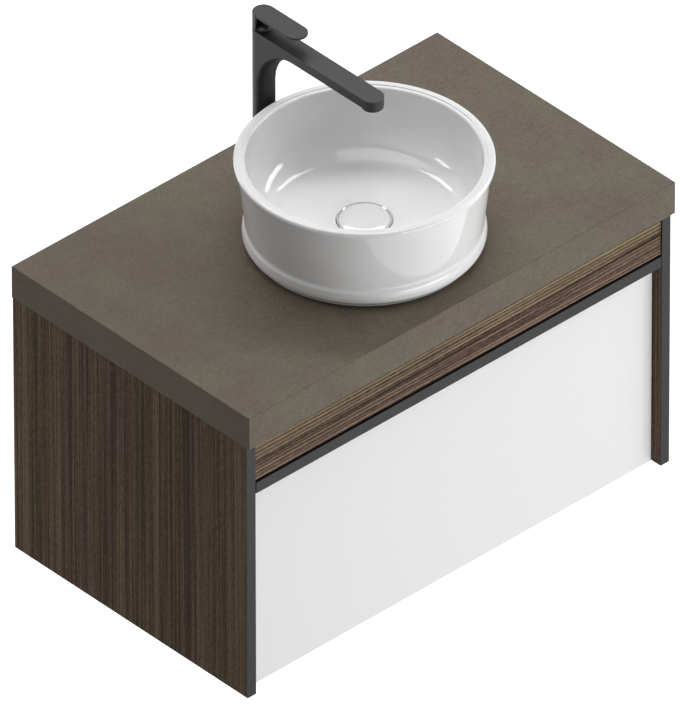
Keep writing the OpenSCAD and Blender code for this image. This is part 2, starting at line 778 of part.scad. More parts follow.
module tailpiece() {
    color("#c6c8ca") translate([0, basin_y, tail_low_z])
        tube(pipe_r, pipe_r - pipe_wall, tail_top_z - tail_low_z);
}
module trap_body() {
    color("#e4e4e0") translate([0, basin_y, 0]) difference() {
        union() {
            translate([0, 0, cup_top_z - cup_lap])
                cylinder(r = trap_r, h = trap_top_z - cup_top_z + cup_lap);
            translate([0, 0, trap_top_z - EPS]) cylinder(r = neck_r, h = neck_h + EPS);
            translate([0, 0, outlet_z]) bar_y(neck_r, trap_r + stub_l);
        }
        translate([0, 0, cup_top_z - cup_lap - 1])
            cylinder(r = trap_r - trap_wall, h = trap_top_z - trap_wall - cup_top_z + cup_lap + 1);
        translate([0, 0, trap_top_z - trap_wall - 1])
            cylinder(r = pipe_r + seat_gap, h = neck_h + trap_wall + 2);
        translate([0, 0, outlet_z]) bar_y(pipe_r + seat_gap, trap_r + stub_l + 1);
    }
}

// Union nut whose closed end holds a pipe, with its open end at Z = 0
module union_nut() {
    difference() {
        cylinder(r = nut_r, h = nut_l);
        translate([0, 0, -EPS]) cylinder(r = neck_r + seat_gap, h = nut_l - nut_end);
        cylinder(r = pipe_r + seat_gap, h = nut_l + EPS);
        for (a = [0:30:330]) rotate([0, 0, a]) translate([nut_r + 1, 0, -EPS])
            cylinder(r = 2.2, h = nut_l + 2 * EPS);
    }
}
module trap_inlet_nut() {
    color("#e4e4e0") translate([0, basin_y, trap_top_z + 1]) union_nut();
}
module trap_outlet_nut() {
    color("#e4e4e0") translate([0, basin_y + trap_r + nut_gap, outlet_z]) rotate([-90, 0, 0]) union_nut();
}
module trap_cup() {
    color("#e4e4e0") translate([0, basin_y, trap_low_z]) difference() {
        union() {
            translate([0, 0, cup_floor]) cylinder(r = cup_r, h = cup_top_z - trap_low_z - cup_floor);
            cylinder(r1 = cup_r - cup_floor, r2 = cup_r, h = cup_floor);
        }
        translate([0, 0, cup_floor]) cylinder(r = trap_r + seat_gap, h = cup_top_z - trap_low_z);
        for (a = [0:20:340]) rotate([0, 0, a]) translate([cup_r + 1, 0, -EPS])
            cylinder(r = 1.6, h = 24);
    }
}
module trap_outlet_pipe() {
    color("#e4e4e0") translate([0, basin_y + trap_r - trap_wall, outlet_z]) rotate([-90, 0, 0]) {
        tube(pipe_r - spigot_step, pipe_r - pipe_wall, spigot_l + EPS);
        translate([0, 0, spigot_l]) tube(pipe_r, pipe_r - pipe_wall, wall_pipe_l);
    }
}

// ---------- mixer ----------

module tap_base_ring() {
    color("#3b3b3d") translate([0, tap_y, top_z]) rotate_extrude()
        polygon([[tap_r - 1.5, 0], [base_ring_r, 0], [base_ring_r, base_ring_h - 1],
                 [base_ring_r - 1, base_ring_h], [tap_r - 1.5, base_ring_h]]);
}

// Flat outline with round ends, from the column's axis to a centre l in front of it
module stadium(r, l) {
    circle(r = r);
    translate([0, -l]) circle(r = r);
    translate([-r, -l]) square([2 * r, l]);
}

module tap_body() {
    color("#3b3b3d") translate([0, tap_y, 0]) difference() {
        union() {
            translate([0, 0, tap_low_z]) cylinder(r = tap_r, h = column_top_z - tap_low_z);
            translate([0, 0, spout_low_z]) linear_extrude(spout_t) stadium(tap_r, spout_reach);
            intersection() {
                translate([0, 0, spout_low_z - spout_fillet]) rotate_extrude() difference() {
                    square([tap_r + spout_fillet, spout_fillet + 1]);
                    translate([tap_r + spout_fillet, 0]) circle(r = spout_fillet);
                }
                translate([0, 0, spout_low_z - spout_fillet])
                    linear_extrude(spout_fillet + 1) stadium(tap_r, spout_reach);
            }
            translate([0, -spout_reach, spout_low_z - collar_h])
                cylinder(r = tap_r - 0.5, h = collar_h + 1);
        }
        translate([0, 0, column_top_z]) rotate_extrude(angle = 180)
            polygon([[tap_r - column_edge, 0], [tap_r + 1, 0], [tap_r + 1, -column_edge - 1]]);
        translate([0, 0, cartridge_low_z]) cylinder(r = chamber_r, h = column_top_z);
        for (s = [-1, 1]) translate([s * inlet_x, inlet_y, tap_low_z - EPS]) {
            cylinder(r = inlet_r, h = inlet_l + EPS);
            cylinder(r = inlet_r - 1.5, h = cartridge_low_z - tap_low_z + 1);
        }
        translate([0, stud_back, tap_low_z - EPS]) cylinder(r = stud_r + 0.05, h = stud_l);
        translate([0, -spout_reach, spout_low_z + spout_t / 2]) bar_y(4.2, spout_reach - chamber_r + 2);
        translate([0, -spout_reach, spout_low_z - collar_h - EPS])
            cylinder(r = aerator_r + seat_gap, h = aerator_h);
    }
}
module tap_stud() {
    color("#b9bcbe") translate([0, tap_y + stud_back, body_h - 34])
        cylinder(r = stud_r, h = tap_low_z + stud_l - 1 - body_h + 34);
}
module tap_clamp_washer() {
    color("#b9bcbe") translate([0, tap_y, body_h - 4]) difference() {
        cylinder(r = tap_hole_r + 7, h = 4);
        translate([0, stud_back, -EPS]) cylinder(r = stud_r + seat_gap, h = 5);
        block([-inlet_x - inlet_r, -40, -EPS], [inlet_x + inlet_r, inlet_r - 2, 5]);
    }
}
module tap_clamp_nut() {
    color("#c9a050") translate([0, tap_y + stud_back, body_h - 4 - 14]) difference() {
        cylinder(r = 7.5, h = 14, $fn = 6);
        translate([0, 0, -EPS]) cylinder(r = stud_r + 0.1, h = 15);
    }
}
module aerator_insert() {
    color("#8d8f91") translate([0, tap_y - spout_reach, spout_low_z - collar_h + 0.4]) difference() {
        cylinder(r = aerator_r, h = aerator_h - 1);
        translate([0, 0, -EPS]) cylinder(r = aerator_r - 1.6, h = 1.6);
        for (a = [0:60:300]) rotate([0, 0, a]) translate([5.5, 0, 0]) cylinder(r = 1.5, h = aerator_h);
    }
}

module cartridge_body() {
    color("#e0ded8") translate([0, tap_y, 0]) difference() {
        translate([0, 0, cartridge_low_z + 0.2]) cylinder(r = cartridge_r, h = cartridge_h - 0.2);
        translate([0, 0, pivot_z - 11.4]) cylinder(r = head_r + run_gap, h = cartridge_h);
        for (s = [-1, 1]) translate([s * inlet_x, inlet_y, cartridge_low_z])
            cylinder(r = 2.4, h = 2 * cartridge_h / 3);
    }
}
module cartridge_nut() {
    color("#c9a050") translate([0, tap_y, column_top_z - 3])
        tube(cartridge_r, head_r + 0.8, 3);
}

// Room that the spindle sweeps in the head, as an outline of [Y, Z] from the pivot
function spindle_slot() = let (g = 0.35, up = column_top_z - pivot_z + dome_h + 3)
    [[-spindle_y - g, up], [-spindle_y - g, 1.2], [-spindle_y - 2.8, -7], [spindle_y + g + 0.3, -7],
     [spindle_y + g + 0.3, 0.5], [(spindle_y + g) / cos(lever_tilt) + up * tan(lever_tilt), up]];

module cartridge_head() {
    color("#232325") translate([0, tap_y, pivot_z]) difference() {
        union() {
            translate([0, 0, -11]) cylinder(r = head_r, h = column_top_z - pivot_z + 11.4);
            translate([0, 0, column_top_z - pivot_z + 0.3]) rotate_extrude()
                polygon(concat([[0, 0], [dome_rim_r, 0], [dome_rim_r, 1]],
                    [for (a = [0:10:90]) [dome_r * cos(a), 1.2 + (dome_h - 1.2) * sin(a)]]));
        }
        translate([-spindle_x - 0.3, 0, 0]) rotate([90, 0, 90])
            linear_extrude(2 * spindle_x + 0.6) polygon(spindle_slot());
        translate([-head_r - 1, 0, 0]) bar_x(pivot_r + run_gap, 2 * head_r + 2);
    }
}
module cartridge_spindle() {
    color("#c6c8ca") translate([0, tap_y, pivot_z]) {
        block([-spindle_x, -spindle_y, -6], [spindle_x, spindle_y, blade_low_z - 2 - pivot_z]);
        translate([-9, 0, 0]) bar_x(pivot_r, 18);
    }
}

module tap_lever() {
    color("#3b3b3d") translate([0, tap_y, 0]) difference() {
        union() {
            translate([0, 0, blade_low_z]) linear_extrude(lever_t) stadium(tap_r, lever_l);
            translate([0, 0, column_top_z + lever_gap]) difference() {
                cylinder(r = tap_r, h = blade_low_z - column_top_z - lever_gap + 1);
                translate([0, 0, -EPS])
                    cylinder(r = tap_r - skirt_wall, h = blade_low_z - column_top_z - lever_gap + EPS);
                block([-tap_r - 1, -tap_r - 1, -1], [tap_r + 1, skirt_front, 2 * lever_rise]);
            }
            block([-spindle_x - socket_wall, -spindle_y - socket_wall, socket_low_z],
                  [spindle_x + socket_wall, tap_r - skirt_wall + 0.6, blade_low_z + 1]);
        }
        block([-spindle_x - socket_gap, -spindle_y - socket_gap, socket_low_z - 1],
              [spindle_x + socket_gap, spindle_y + socket_gap, blade_low_z - 1.8]);
        translate([0, spindle_y, grub_z]) bar_y(grub_r + 0.05, tap_r);
        translate([0, tap_r - 3.4, grub_z]) bar_y(index_r + 0.1, 5);
    }
}
module lever_grub_screw() {
    color("#232325") translate([0, tap_y + spindle_y + 0.05, grub_z]) bar_y(grub_r, 7);
}
module lever_index_cap() {
    color("#3b3b3d") translate([0, tap_y, grub_z]) intersection() {
        translate([0, tap_r - 3.3, 0]) bar_y(index_r, 5);
        translate([0, 0, -5]) cylinder(r = tap_r - 0.1, h = 10);
    }
}

// ---------- runners ----------

// Channel section with its web at x0 and its flanges to x1, both measured in from the side panel
module channel(x0, x1, h, back) {
    difference() {
        block([-half_in + min(x0, x1), white_back_y, runner_z - h / 2],
              [-half_in + max(x0, x1), runner_back_y, runner_z + h / 2]);
        block([-half_in + (back ? min(x0, x1) - 1 : x0 + runner_t), white_back_y - 1,
               runner_z - h / 2 + runner_t],
              [-half_in + (back ? x0 - runner_t : x1 + 1), runner_back_y + 1,
               runner_z + h / 2 - runner_t]);
    }
}
module runners_fixed() {
    color("#a9acae") both_sides() difference() {
        channel(0, runner_w - 3.5, runner_h, false);
        for (y = runner_screw_y) translate([-half_in - EPS, y, runner_z])
            bar_x(screw_r + seat_gap, runner_t + 2 * EPS);
    }
}
module runners_middle() {
    color("#b9bcbe") both_sides() channel(web_mid, runner_w - 2.4, middle_h, false);
}
module runners_drawer() {
    color("#a9acae") both_sides() channel(runner_w, web_mid + runner_t + slide_gap, drawer_h, true);
}

// Flush screws of the fixed runners and pan-head screws of the hangers, all into the side panels
module panel_screws() {
    color("#b9bcbe") both_sides() {
        for (y = runner_screw_y)
            translate([-half_in - screw_bite, y, runner_z]) bar_x(screw_r, screw_bite + runner_t);
        for (z = hanger_screw_z) translate([-half_in + hanger_w, hanger_screw_y, z])
            rotate([0, -90, 0]) screw(hanger_w + screw_bite);
    }
}

// ---------- drawer ----------

module drawer_front() {
    color("#f4f4f3") difference() {
        block([-half_in + front_gap, white_y, front_lift],
              [half_in - front_gap, white_back_y, rail_top_z - grip_t]);
        for (x = grip_screw_x) translate([x, white_back_y - pilot, grip_screw_z])
            bar_y(screw_r + 0.05, pilot + EPS);
        both_sides() for (z = bracket_screw_z)
            translate([-bracket_screw_x, white_back_y - pilot, z]) bar_y(screw_r + 0.05, pilot + EPS);
    }
}

module grip_rail() {
    color("#3f4042") difference() {
        union() {
            block([-half_in + grip_gap, front_y, rail_low_z],
                  [half_in - grip_gap, front_y + grip_t, rail_top_z]);
            block([-half_in + grip_gap, front_y, rail_top_z - grip_t],
                  [half_in - grip_gap, white_back_y + grip_t, rail_top_z]);
            block([-half_in + grip_gap, white_back_y, rail_top_z - grip_flange_h],
                  [half_in - grip_gap, white_back_y + grip_t, rail_top_z]);
        }
        for (x = grip_screw_x) translate([x, white_back_y - EPS, grip_screw_z])
            bar_y(screw_r + seat_gap, grip_t + 2 * EPS);
    }
}

// Angles that hold the white front to the drawer's sides
module front_brackets() {
    color("#b9bcbe") both_sides() difference() {
        union() {
            block([-box_half + box_t, white_back_y, box_floor_z + box_floor_t + angle_lift],
                  [-box_half + box_t + angle_t, white_back_y + angle_d,
                   box_low_z + box_side_h - angle_below]);
            block([-box_half + box_t, white_back_y, box_floor_z + box_floor_t + angle_lift],
                  [-box_half + box_t + angle_w, white_back_y + angle_t,
                   box_low_z + box_side_h - angle_below]);
        }
        for (z = bracket_screw_z) translate([-bracket_screw_x, white_back_y - EPS, z])
            bar_y(screw_r + seat_gap, angle_t + 2 * EPS);
    }
}
module drawer_screws() {
    color("#b9bcbe") {
        for (x = grip_screw_x) translate([x, white_back_y + grip_t, grip_screw_z])
            rotate([90, 0, 0]) screw(grip_t + screw_bite);
        both_sides() for (z = bracket_screw_z)
            translate([-bracket_screw_x, white_back_y + angle_t, z])
                rotate([90, 0, 0]) screw(angle_t + screw_bite);
    }
}
module drawer_sides() {
    color("#d9d6d0") both_sides() difference() {
        block([-box_half, white_back_y, box_low_z],
              [-box_half + box_t, box_back_y, box_low_z + box_side_h]);
        block([-box_half + box_t - box_groove, white_back_y - 1, box_floor_z - seat_gap],
              [-box_half + box_t + 1, box_back_y + 1, box_floor_z + box_floor_t + seat_gap]);
    }
}
module drawer_bottom() {
    color("#d9d6d0") difference() {
        block([-box_half + box_t - box_groove + seat_gap, white_back_y, box_floor_z],
              [box_half - box_t + box_groove - seat_gap, box_back_y, box_floor_z + box_floor_t]);
        block([-notch_w / 2, notch_y, 0], [notch_w / 2, 0, box_side_h]);
    }
}
module drawer_back() {
    low = box_floor_z + box_floor_t;
    high = low + box_back_h;
    color("#d9d6d0") {
        both_sides() {
            block([-box_half + box_t, box_back_y - box_t, low], [-notch_w / 2 - box_t, box_back_y, high]);
            block([-notch_w / 2 - box_t, notch_y, low], [-notch_w / 2, box_back_y, high]);
        }
        block([-notch_w / 2 - box_t, notch_y - box_t, low], [notch_w / 2 + box_t, notch_y, high]);
    }
}

side_panel_left();
side_panel_right();
edging_left();
edging_right();
bottom_panel();
rear_rail_upper();
rear_rail_lower();
front_stretcher();
fascia_panel();
dowels();
cam_bolts();
cam_housings();
hanger_housings();
hanger_hooks();
wall_plates();
top_brackets();
top_screws();
countertop_plate();
countertop_edge_front();
countertop_edge_left();
countertop_edge_right();
countertop_core();
basin();
basin_sealant();
waste_body();
waste_gaskets();
waste_backnut();
plug_cap();
plug_seal();
plug_stem();
tailpiece();
trap_body();
trap_inlet_nut();
trap_outlet_nut();
trap_cup();
trap_outlet_pipe();
tap_base_ring();
tap_body();
tap_stud();
tap_clamp_washer();
tap_clamp_nut();
cartridge_body();
cartridge_nut();
cartridge_head();
cartridge_spindle();
tap_lever();
lever_grub_screw();
lever_index_cap();
aerator_insert();
runners_fixed();
runners_middle();
runners_drawer();
panel_screws();
drawer_front();
grip_rail();
front_brackets();
drawer_screws();
drawer_sides();
drawer_bottom();
drawer_back();
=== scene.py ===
"""Wall-hung vanity with a round vessel basin and a tall single-lever mixer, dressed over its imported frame."""
import json
import math

import bmesh
import bpy
from mathutils import Matrix, Vector

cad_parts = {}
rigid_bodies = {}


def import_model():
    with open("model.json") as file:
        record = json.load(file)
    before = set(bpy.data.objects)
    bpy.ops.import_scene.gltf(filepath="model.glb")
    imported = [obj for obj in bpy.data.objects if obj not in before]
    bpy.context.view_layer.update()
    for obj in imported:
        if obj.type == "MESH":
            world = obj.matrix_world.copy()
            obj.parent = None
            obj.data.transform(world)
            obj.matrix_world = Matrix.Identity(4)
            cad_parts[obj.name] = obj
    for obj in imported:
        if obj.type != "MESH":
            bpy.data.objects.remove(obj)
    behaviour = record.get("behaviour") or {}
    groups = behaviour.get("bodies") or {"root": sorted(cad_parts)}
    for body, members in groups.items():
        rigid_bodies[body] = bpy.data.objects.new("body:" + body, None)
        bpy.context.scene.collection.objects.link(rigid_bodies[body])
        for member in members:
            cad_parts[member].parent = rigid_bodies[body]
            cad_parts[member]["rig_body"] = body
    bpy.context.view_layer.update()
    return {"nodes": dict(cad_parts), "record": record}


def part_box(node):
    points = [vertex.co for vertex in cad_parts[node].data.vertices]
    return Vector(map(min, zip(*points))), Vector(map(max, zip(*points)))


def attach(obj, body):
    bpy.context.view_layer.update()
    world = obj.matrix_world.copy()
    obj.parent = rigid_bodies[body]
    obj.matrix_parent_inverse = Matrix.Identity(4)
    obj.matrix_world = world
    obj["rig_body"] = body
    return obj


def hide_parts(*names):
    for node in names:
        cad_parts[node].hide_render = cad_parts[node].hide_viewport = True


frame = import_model()
MM = 0.001
WELD = 1e-6      # corners nearer than this, in metres, are one
WIDE_ARC = 10    # from this radius on, in mm, an arc gets four times the steps
RECORD = {row["node"]: row for row in frame["record"]["subparts"]}


# ---------- places taken from the frame ----------

def upright(node):
    """Middle of the lower end, radius and height of a node that is round about an upright axis."""
    low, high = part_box(node)
    foot = Vector(((low.x + high.x) / 2, (low.y + high.y) / 2, low.z))
    return foot, (high.x - low.x) / 2, high.z - low.z


UP = Vector((0, 0, 1))
BASIN_SEAT, RIM_R, BASIN_H = upright("basin")
TAP_AXIS, _, _ = upright("tap_base_ring")
TAP_AXIS.z = 0
TAP_LOW, TAP_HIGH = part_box("tap_body")
TAP_R = TAP_HIGH.x - TAP_AXIS.x
SPOUT_REACH = TAP_AXIS.y - TAP_LOW.y - TAP_R


# ---------- helpers for meshes ----------

def smooth_up_to(bm, angle):
    """Shades a mesh smooth, and marks the edges that are sharper than the angle."""
    for face in bm.faces:
        face.smooth = True
    for edge in bm.edges:
        edge.smooth = len(edge.link_faces) == 2 and edge.calc_face_angle(0) <= math.radians(angle)


def as_object(bm, name, material, angle=35):
    """Writes a bmesh into a new object, smooth up to the given angle."""
    mesh = bpy.data.meshes.new(name)
    smooth_up_to(bm, angle)
    bm.to_mesh(mesh)
    bm.free()
    obj = bpy.data.objects.new(name, mesh)
    bpy.context.scene.collection.objects.link(obj)
    mesh.materials.append(material)
    return obj


def baked(obj):
    """Applies an object's modifiers, so that only a plain mesh is left on it."""
    bpy.context.view_layer.update()
    mesh = bpy.data.meshes.new_from_object(obj.evaluated_get(bpy.context.evaluated_depsgraph_get()))
    mesh.name = obj.name
    obj.modifiers.clear()
    obj.data = mesh
    return obj


def flat_shaded(obj):
    """Lets the large faces set the normals, so that a flat face stays flat up to its eased edge."""
    weighted = obj.modifiers.new("weighted", "WEIGHTED_NORMAL")
    weighted.keep_sharp = True
    weighted.weight = 100
    return baked(obj)


def eased(bm, width, segments=2, angle=35):
    """Rounds every edge that is sharper than the angle."""
    sharp = [e for e in bm.edges if len(e.link_faces) == 2 and e.calc_face_angle(0) > math.radians(angle)]
    bevelled(bm, sharp, width, segments)


def bevelled(bm, edges, width, segments):
    """Rounds the given edges."""
    bmesh.ops.bevel(bm, geom=edges, offset=width, offset_type="OFFSET", segments=segments, profile=0.5,
                    affect="EDGES", clamp_overlap=True)


def cut(obj, cutters, operation="DIFFERENCE"):
    """Cuts the closed shapes out of an object, or joins them to it, and deletes them."""
    for cutter in cutters:
        boolean = obj.modifiers.new("cut", "BOOLEAN")
        boolean.operation = operation
        boolean.solver = "EXACT"
        boolean.object = cutter
    baked(obj)
    for cutter in cutters:
        bpy.data.objects.remove(cutter)


def filleted(corners, steps=6):
    """Outline through corners given as (x, y) or (x, y, radius), with each rounded corner drawn as an arc."""
    points = []
    count = len(corners)
    for i, corner in enumerate(corners):
        here = Vector(corner[:2])
        radius = corner[2] if len(corner) > 2 else 0
        if not radius:
            points.append(here)
            continue
        before = (Vector(corners[i - 1][:2]) - here).normalized()
        after = (Vector(corners[(i + 1) % count][:2]) - here).normalized()
        half = before.angle(after) / 2
        reach = radius / math.tan(half)
        centre = here + (before + after).normalized() * radius / math.sin(half)
        start, end = here + before * reach - centre, here + after * reach - centre
        turn = start.angle_signed(end)
        arc_steps = steps if radius < WIDE_ARC else 4 * steps
        for k in range(arc_steps + 1):
            points.append(centre + Matrix.Rotation(-turn * k / arc_steps, 2) @ start)
    return points


def lathe(name, corners, axis, material, turns=128, angle=35, direction=None):
    """Revolves a closed outline of (radius, height, rounding) in mm about a line through axis."""
    turn = (direction or UP).to_track_quat("Z", "Y")
    bm = bmesh.new()
    rings = []
    for x, z in (p * MM for p in filleted(corners)):
        if x < 1e-7:
            rings.append([bm.verts.new(axis + turn @ Vector((0, 0, z)))] * turns)
            continue
        rings.append([
            bm.verts.new(axis + turn @ Vector((x * math.cos(a), x * math.sin(a), z)))
            for a in (2 * math.pi * k / turns for k in range(turns))
        ])
    for i, ring in enumerate(rings):
        other = rings[(i + 1) % len(rings)]
        for k in range(turns):
            face = list(dict.fromkeys([ring[k], ring[(k + 1) % turns], other[(k + 1) % turns], other[k]]))
            if len(face) > 2:
                bm.faces.new(face)
    bmesh.ops.remove_doubles(bm, verts=bm.verts, dist=WELD)
    bmesh.ops.recalc_face_normals(bm, faces=bm.faces)
    return as_object(bm, name, material, angle)


def rod(name, start, end, radius, sides=48):
    """A plain closed cylinder between two points in metres, used for cutting."""
    r, length = radius / MM, (end - start).length / MM
    corners = [(0, 0), (r, 0), (r, length), (0, length)]
    return lathe(name, corners, start, None, sides, direction=(end - start).normalized())


def hand_over(obj, *nodes):
    """Lets a finished piece ride with and stand for the nodes that it was made for, and hides those nodes."""
    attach(obj, frame["nodes"][nodes[0]]["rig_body"])
    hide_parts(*nodes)
    DONE.update(nodes)


def welded(node):
    """A CAD node's mesh, with the corners that lie on each other made one."""
    bm = bmesh.new()
    bm.from_mesh(frame["nodes"][node].data)
    bmesh.ops.remove_doubles(bm, verts=bm.verts, dist=2 * WELD)
    return bm


def clean_copy(node, material, bevel):
    """Copies a CAD node, joins its triangles into flat faces and eases its sharp edges."""
    bm = welded(node)
    bmesh.ops.dissolve_limit(bm, angle_limit=math.radians(0.4), verts=bm.verts, edges=bm.edges)
    eased(bm, bevel)
    return flat_shaded(as_object(bm, node + "_piece", material))


def solids(node):
    """The separate solids of a node, each as the list of its corners."""
    bm = welded(node)
    left, found = set(bm.verts), []
    while left:
        group, queue = [], [left.pop()]
        while queue:
            vert = queue.pop()
            group.append(vert.co.copy())
            for edge in vert.link_edges:
                other = edge.other_vert(vert)
                if other in left:
                    left.remove(other)
                    queue.append(other)
        found.append(group)
    bm.free()
    return found


# ---------- helpers for materials and node trees ----------

def colour(code):
    """Linear colour of an sRGB hex value."""
    parts = [int(code[i:i + 2], 16) / 255 for i in (1, 3, 5)]
    return (*[c / 12.92 if c <= 0.04045 else ((c + 0.055) / 1.055) ** 2.4 for c in parts], 1.0)


def add(tree, kind, inputs=None, **settings):
    """Adds a node with its settings, and fills its inputs with values or links."""
    node = tree.nodes.new(kind)
    for name, value in settings.items():
        setattr(node, name, value)
    for key, value in (inputs or {}).items():
        if isinstance(value, bpy.types.NodeSocket):
            tree.links.new(value, node.inputs[key])
        else:
            node.inputs[key].default_value = value
    return node


def maths(tree, operation, a, b=0.0):
    """Adds, multiplies or otherwise combines two numbers, or applies a function to the first."""
    return add(tree, "ShaderNodeMath", {0: a, 1: b}, operation=operation).outputs[0]


def cleared(block):
    """The node tree of a new material or world, with no nodes in it."""
    block.use_nodes = True
    block.node_tree.nodes.clear()
    return block.node_tree


def surface(name, **inputs):
    """A material with one Principled shader. Returns the material, its tree and the shader."""
    material = bpy.data.materials.new(name)
    tree = cleared(material)
    shader = add(tree, "ShaderNodeBsdfPrincipled", {k.replace("_", " "): v for k, v in inputs.items()})
    add(tree, "ShaderNodeOutputMaterial", {"Surface": shader.outputs[0]})
    return material, tree, shader


def place(tree, scale, turn=(0, 0, 0)):
    """Object coordinates, turned and then scaled, in cycles per metre."""
    where = add(tree, "ShaderNodeTexCoord").outputs["Object"]
    turned = add(tree, "ShaderNodeMapping", {"Vector": where, "Rotation": turn})
    return add(tree, "ShaderNodeMapping", {"Vector": turned.outputs[0], "Scale": scale}).outputs[0]


def noise(tree, where, detail=3.0, rough=0.5, distortion=0.0):
    """Noise value at the given place."""
    return add(tree, "ShaderNodeTexNoise", {
        "Vector": where, "Scale": 1.0, "Detail": detail, "Roughness": rough, "Distortion": distortion,
    }).outputs[0]


def spread(tree, value, low, high, to_low=0.0, to_high=1.0):
    """Stretches a value from one range to another, held at both ends."""
    return add(tree, "ShaderNodeMapRange", {0: value, 1: low, 2: high, 3: to_low, 4: to_high}).outputs[0]


def ramp(tree, value, stops):
    """Colour or grey ramp, with stops as (place, hex code)."""
    node = add(tree, "ShaderNodeValToRGB", {"Fac": value})
    while len(node.color_ramp.elements) < len(stops):
        node.color_ramp.elements.new(0.5)
    for element, (spot, code) in zip(node.color_ramp.elements, stops):
        element.position = spot
        element.color = colour(code)
    return node.outputs[0]


def mix(tree, blend, factor, a, b):
    """Mixes two colours."""
    node = add(tree, "ShaderNodeMix", {"Factor": factor, 6: a, 7: b}, data_type="RGBA", blend_type=blend)
    return node.outputs[2]


def bump(tree, shader, height, distance):
    """Gives the shader a bump of the given depth in metres."""
    node = add(tree, "ShaderNodeBump", {"Height": height, "Distance": distance, "Strength": 1.0})
    tree.links.new(node.outputs[0], shader.inputs["Normal"])


# ---------- materials ----------

def wood_laminate(name, turn, tones, line, line_share, step, wander):
    """Melamine laminate: printed with straight walnut grain and pressed matt, with fine pores along it.

    The eye sees light and dark hairlines about `step` mm apart that run nearly straight, fine specks between
    them, and broad bands of greener and redder brown.
    """
    material, tree, shader = surface(name, Specular_IOR_Level=0.06)
    dark, mid, light = tones
    along = place(tree, (1, 1, 1), turn)
    x, y, _ = add(tree, "ShaderNodeSeparateXYZ", {0: along}).outputs
    across = maths(tree, "DIVIDE", maths(tree, "ADD", x, y), step * MM)
    drift = noise(tree, place(tree, (16, 16, 1.1), turn), 3.0, 0.6)
    phase = maths(tree, "ADD", across, maths(tree, "MULTIPLY", drift, wander))
    wave = maths(tree, "MULTIPLY", maths(tree, "PINGPONG", phase, 0.5), 2.0)
    hairs = noise(tree, place(tree, (1400 / step, 1400 / step, 1.6), turn), 3.0, 0.7)
    specks = noise(tree, place(tree, (560, 560, 110), turn), 2.0, 0.7)
    broad = noise(tree, place(tree, (30, 30, 0.7), turn), 2.0)
    tone = maths(tree, "ADD", spread(tree, hairs, 0.36, 0.64), spread(tree, broad, 0.3, 0.7, -0.26, 0.26))
    tone = maths(tree, "ADD", tone, spread(tree, specks, 0.32, 0.68, -0.3, 0.3))
    body = ramp(tree, tone, [(0.0, dark), (0.5, mid), (1.0, light)])
    strong = spread(tree, hairs, 0.4, 0.6, 0.15, 1.0)
    lit = maths(tree, "MULTIPLY", spread(tree, wave, 0.72, 0.92, 0.0, line_share), strong)
    body = mix(tree, "MIX", lit, body, colour(line))
    shade = maths(tree, "MULTIPLY", spread(tree, wave, 0.3, 0.1, 0.0, line_share), strong)
    body = mix(tree, "MIX", shade, body, colour(dark))
    bands = noise(tree, place(tree, (22, 22, 1.2), turn), 2.0)
    tint = ramp(tree, bands, [(0.4, "#8a7c82"), (0.6, "#82856a")])
    tree.links.new(mix(tree, "SOFT_LIGHT", 0.7, body, tint), shader.inputs["Base Color"])
    pores = spread(tree, specks, 0.34, 0.42)
    tree.links.new(spread(tree, pores, 0, 1, 0.8, 0.6), shader.inputs["Roughness"])
    bump(tree, shader, pores, 0.1 * MM)
    return material


def sintered_stone():
    """Sintered stone, pressed and fired matt: soft clouds of warm and cool grey over a sandy grain."""
    material, tree, shader = surface("sintered_stone", Roughness=0.6, Specular_IOR_Level=0.15)
    clouds = noise(tree, place(tree, (9, 9, 9)), 5.0, 0.6, 0.6)
    patches = noise(tree, place(tree, (34, 34, 34)), 5.0, 0.7, 0.4)
    grain = noise(tree, place(tree, (330, 330, 330)), 3.0, 0.8)
    tone = ramp(tree, clouds, [(0.36, "#7d7369"), (0.5, "#80776b"), (0.64, "#827b6c")])
    tone = mix(tree, "SOFT_LIGHT", 0.4, tone, ramp(tree, patches, [(0.32, "#646464"), (0.68, "#9c9c9c")]))
    tone = mix(tree, "SOFT_LIGHT", 0.6, tone, ramp(tree, grain, [(0.3, "#505050"), (0.7, "#b0b0b0")]))
    tree.links.new(tone, shader.inputs["Base Color"])
    tree.links.new(spread(tree, patches, 0.3, 0.7, 0.54, 0.66), shader.inputs["Roughness"])
    bump(tree, shader, grain, 0.06 * MM)
    return material


def glazed_ceramic():
    """Vitreous china, glazed and fired: a hard clear gloss over white, faintly wavy where the glaze ran."""
    material, tree, shader = surface("glazed_ceramic", Roughness=0.05)
    wave = noise(tree, place(tree, (22, 22, 22)), 1.0)
    tree.links.new(ramp(tree, wave, [(0.3, "#ebebeb"), (0.7, "#eeeeef")]), shader.inputs["Base Color"])
    bump(tree, shader, wave, 0.15 * MM)
    return material


def gloss_lacquer():
    """Polyester lacquer, sprayed and polished: a flat high gloss with a trace of orange peel."""
    material, tree, shader = surface("gloss_lacquer", Roughness=0.03)
    peel = noise(tree, place(tree, (260, 260, 260)), 1.0)
    tree.links.new(ramp(tree, peel, [(0.3, "#e7e7e7"), (0.7, "#e8e8e8")]), shader.inputs["Base Color"])
    bump(tree, shader, peel, 0.002 * MM)
    return material


def anodised_aluminium():
    """Extruded aluminium, anodised anthracite: a satin sheen with faint lines along the extrusion."""
    material, tree, shader = surface("anodised_aluminium", Metallic=0.6, Roughness=0.42)
    lines = noise(tree, place(tree, (700, 700, 12)), 2.0)
    tree.links.new(ramp(tree, lines, [(0.3, "#1e1e1f"), (0.7, "#252526")]), shader.inputs["Base Color"])
    tree.links.new(spread(tree, lines, 0.3, 0.7, 0.38, 0.46), shader.inputs["Roughness"])
    bump(tree, shader, lines, 0.01 * MM)
    return material


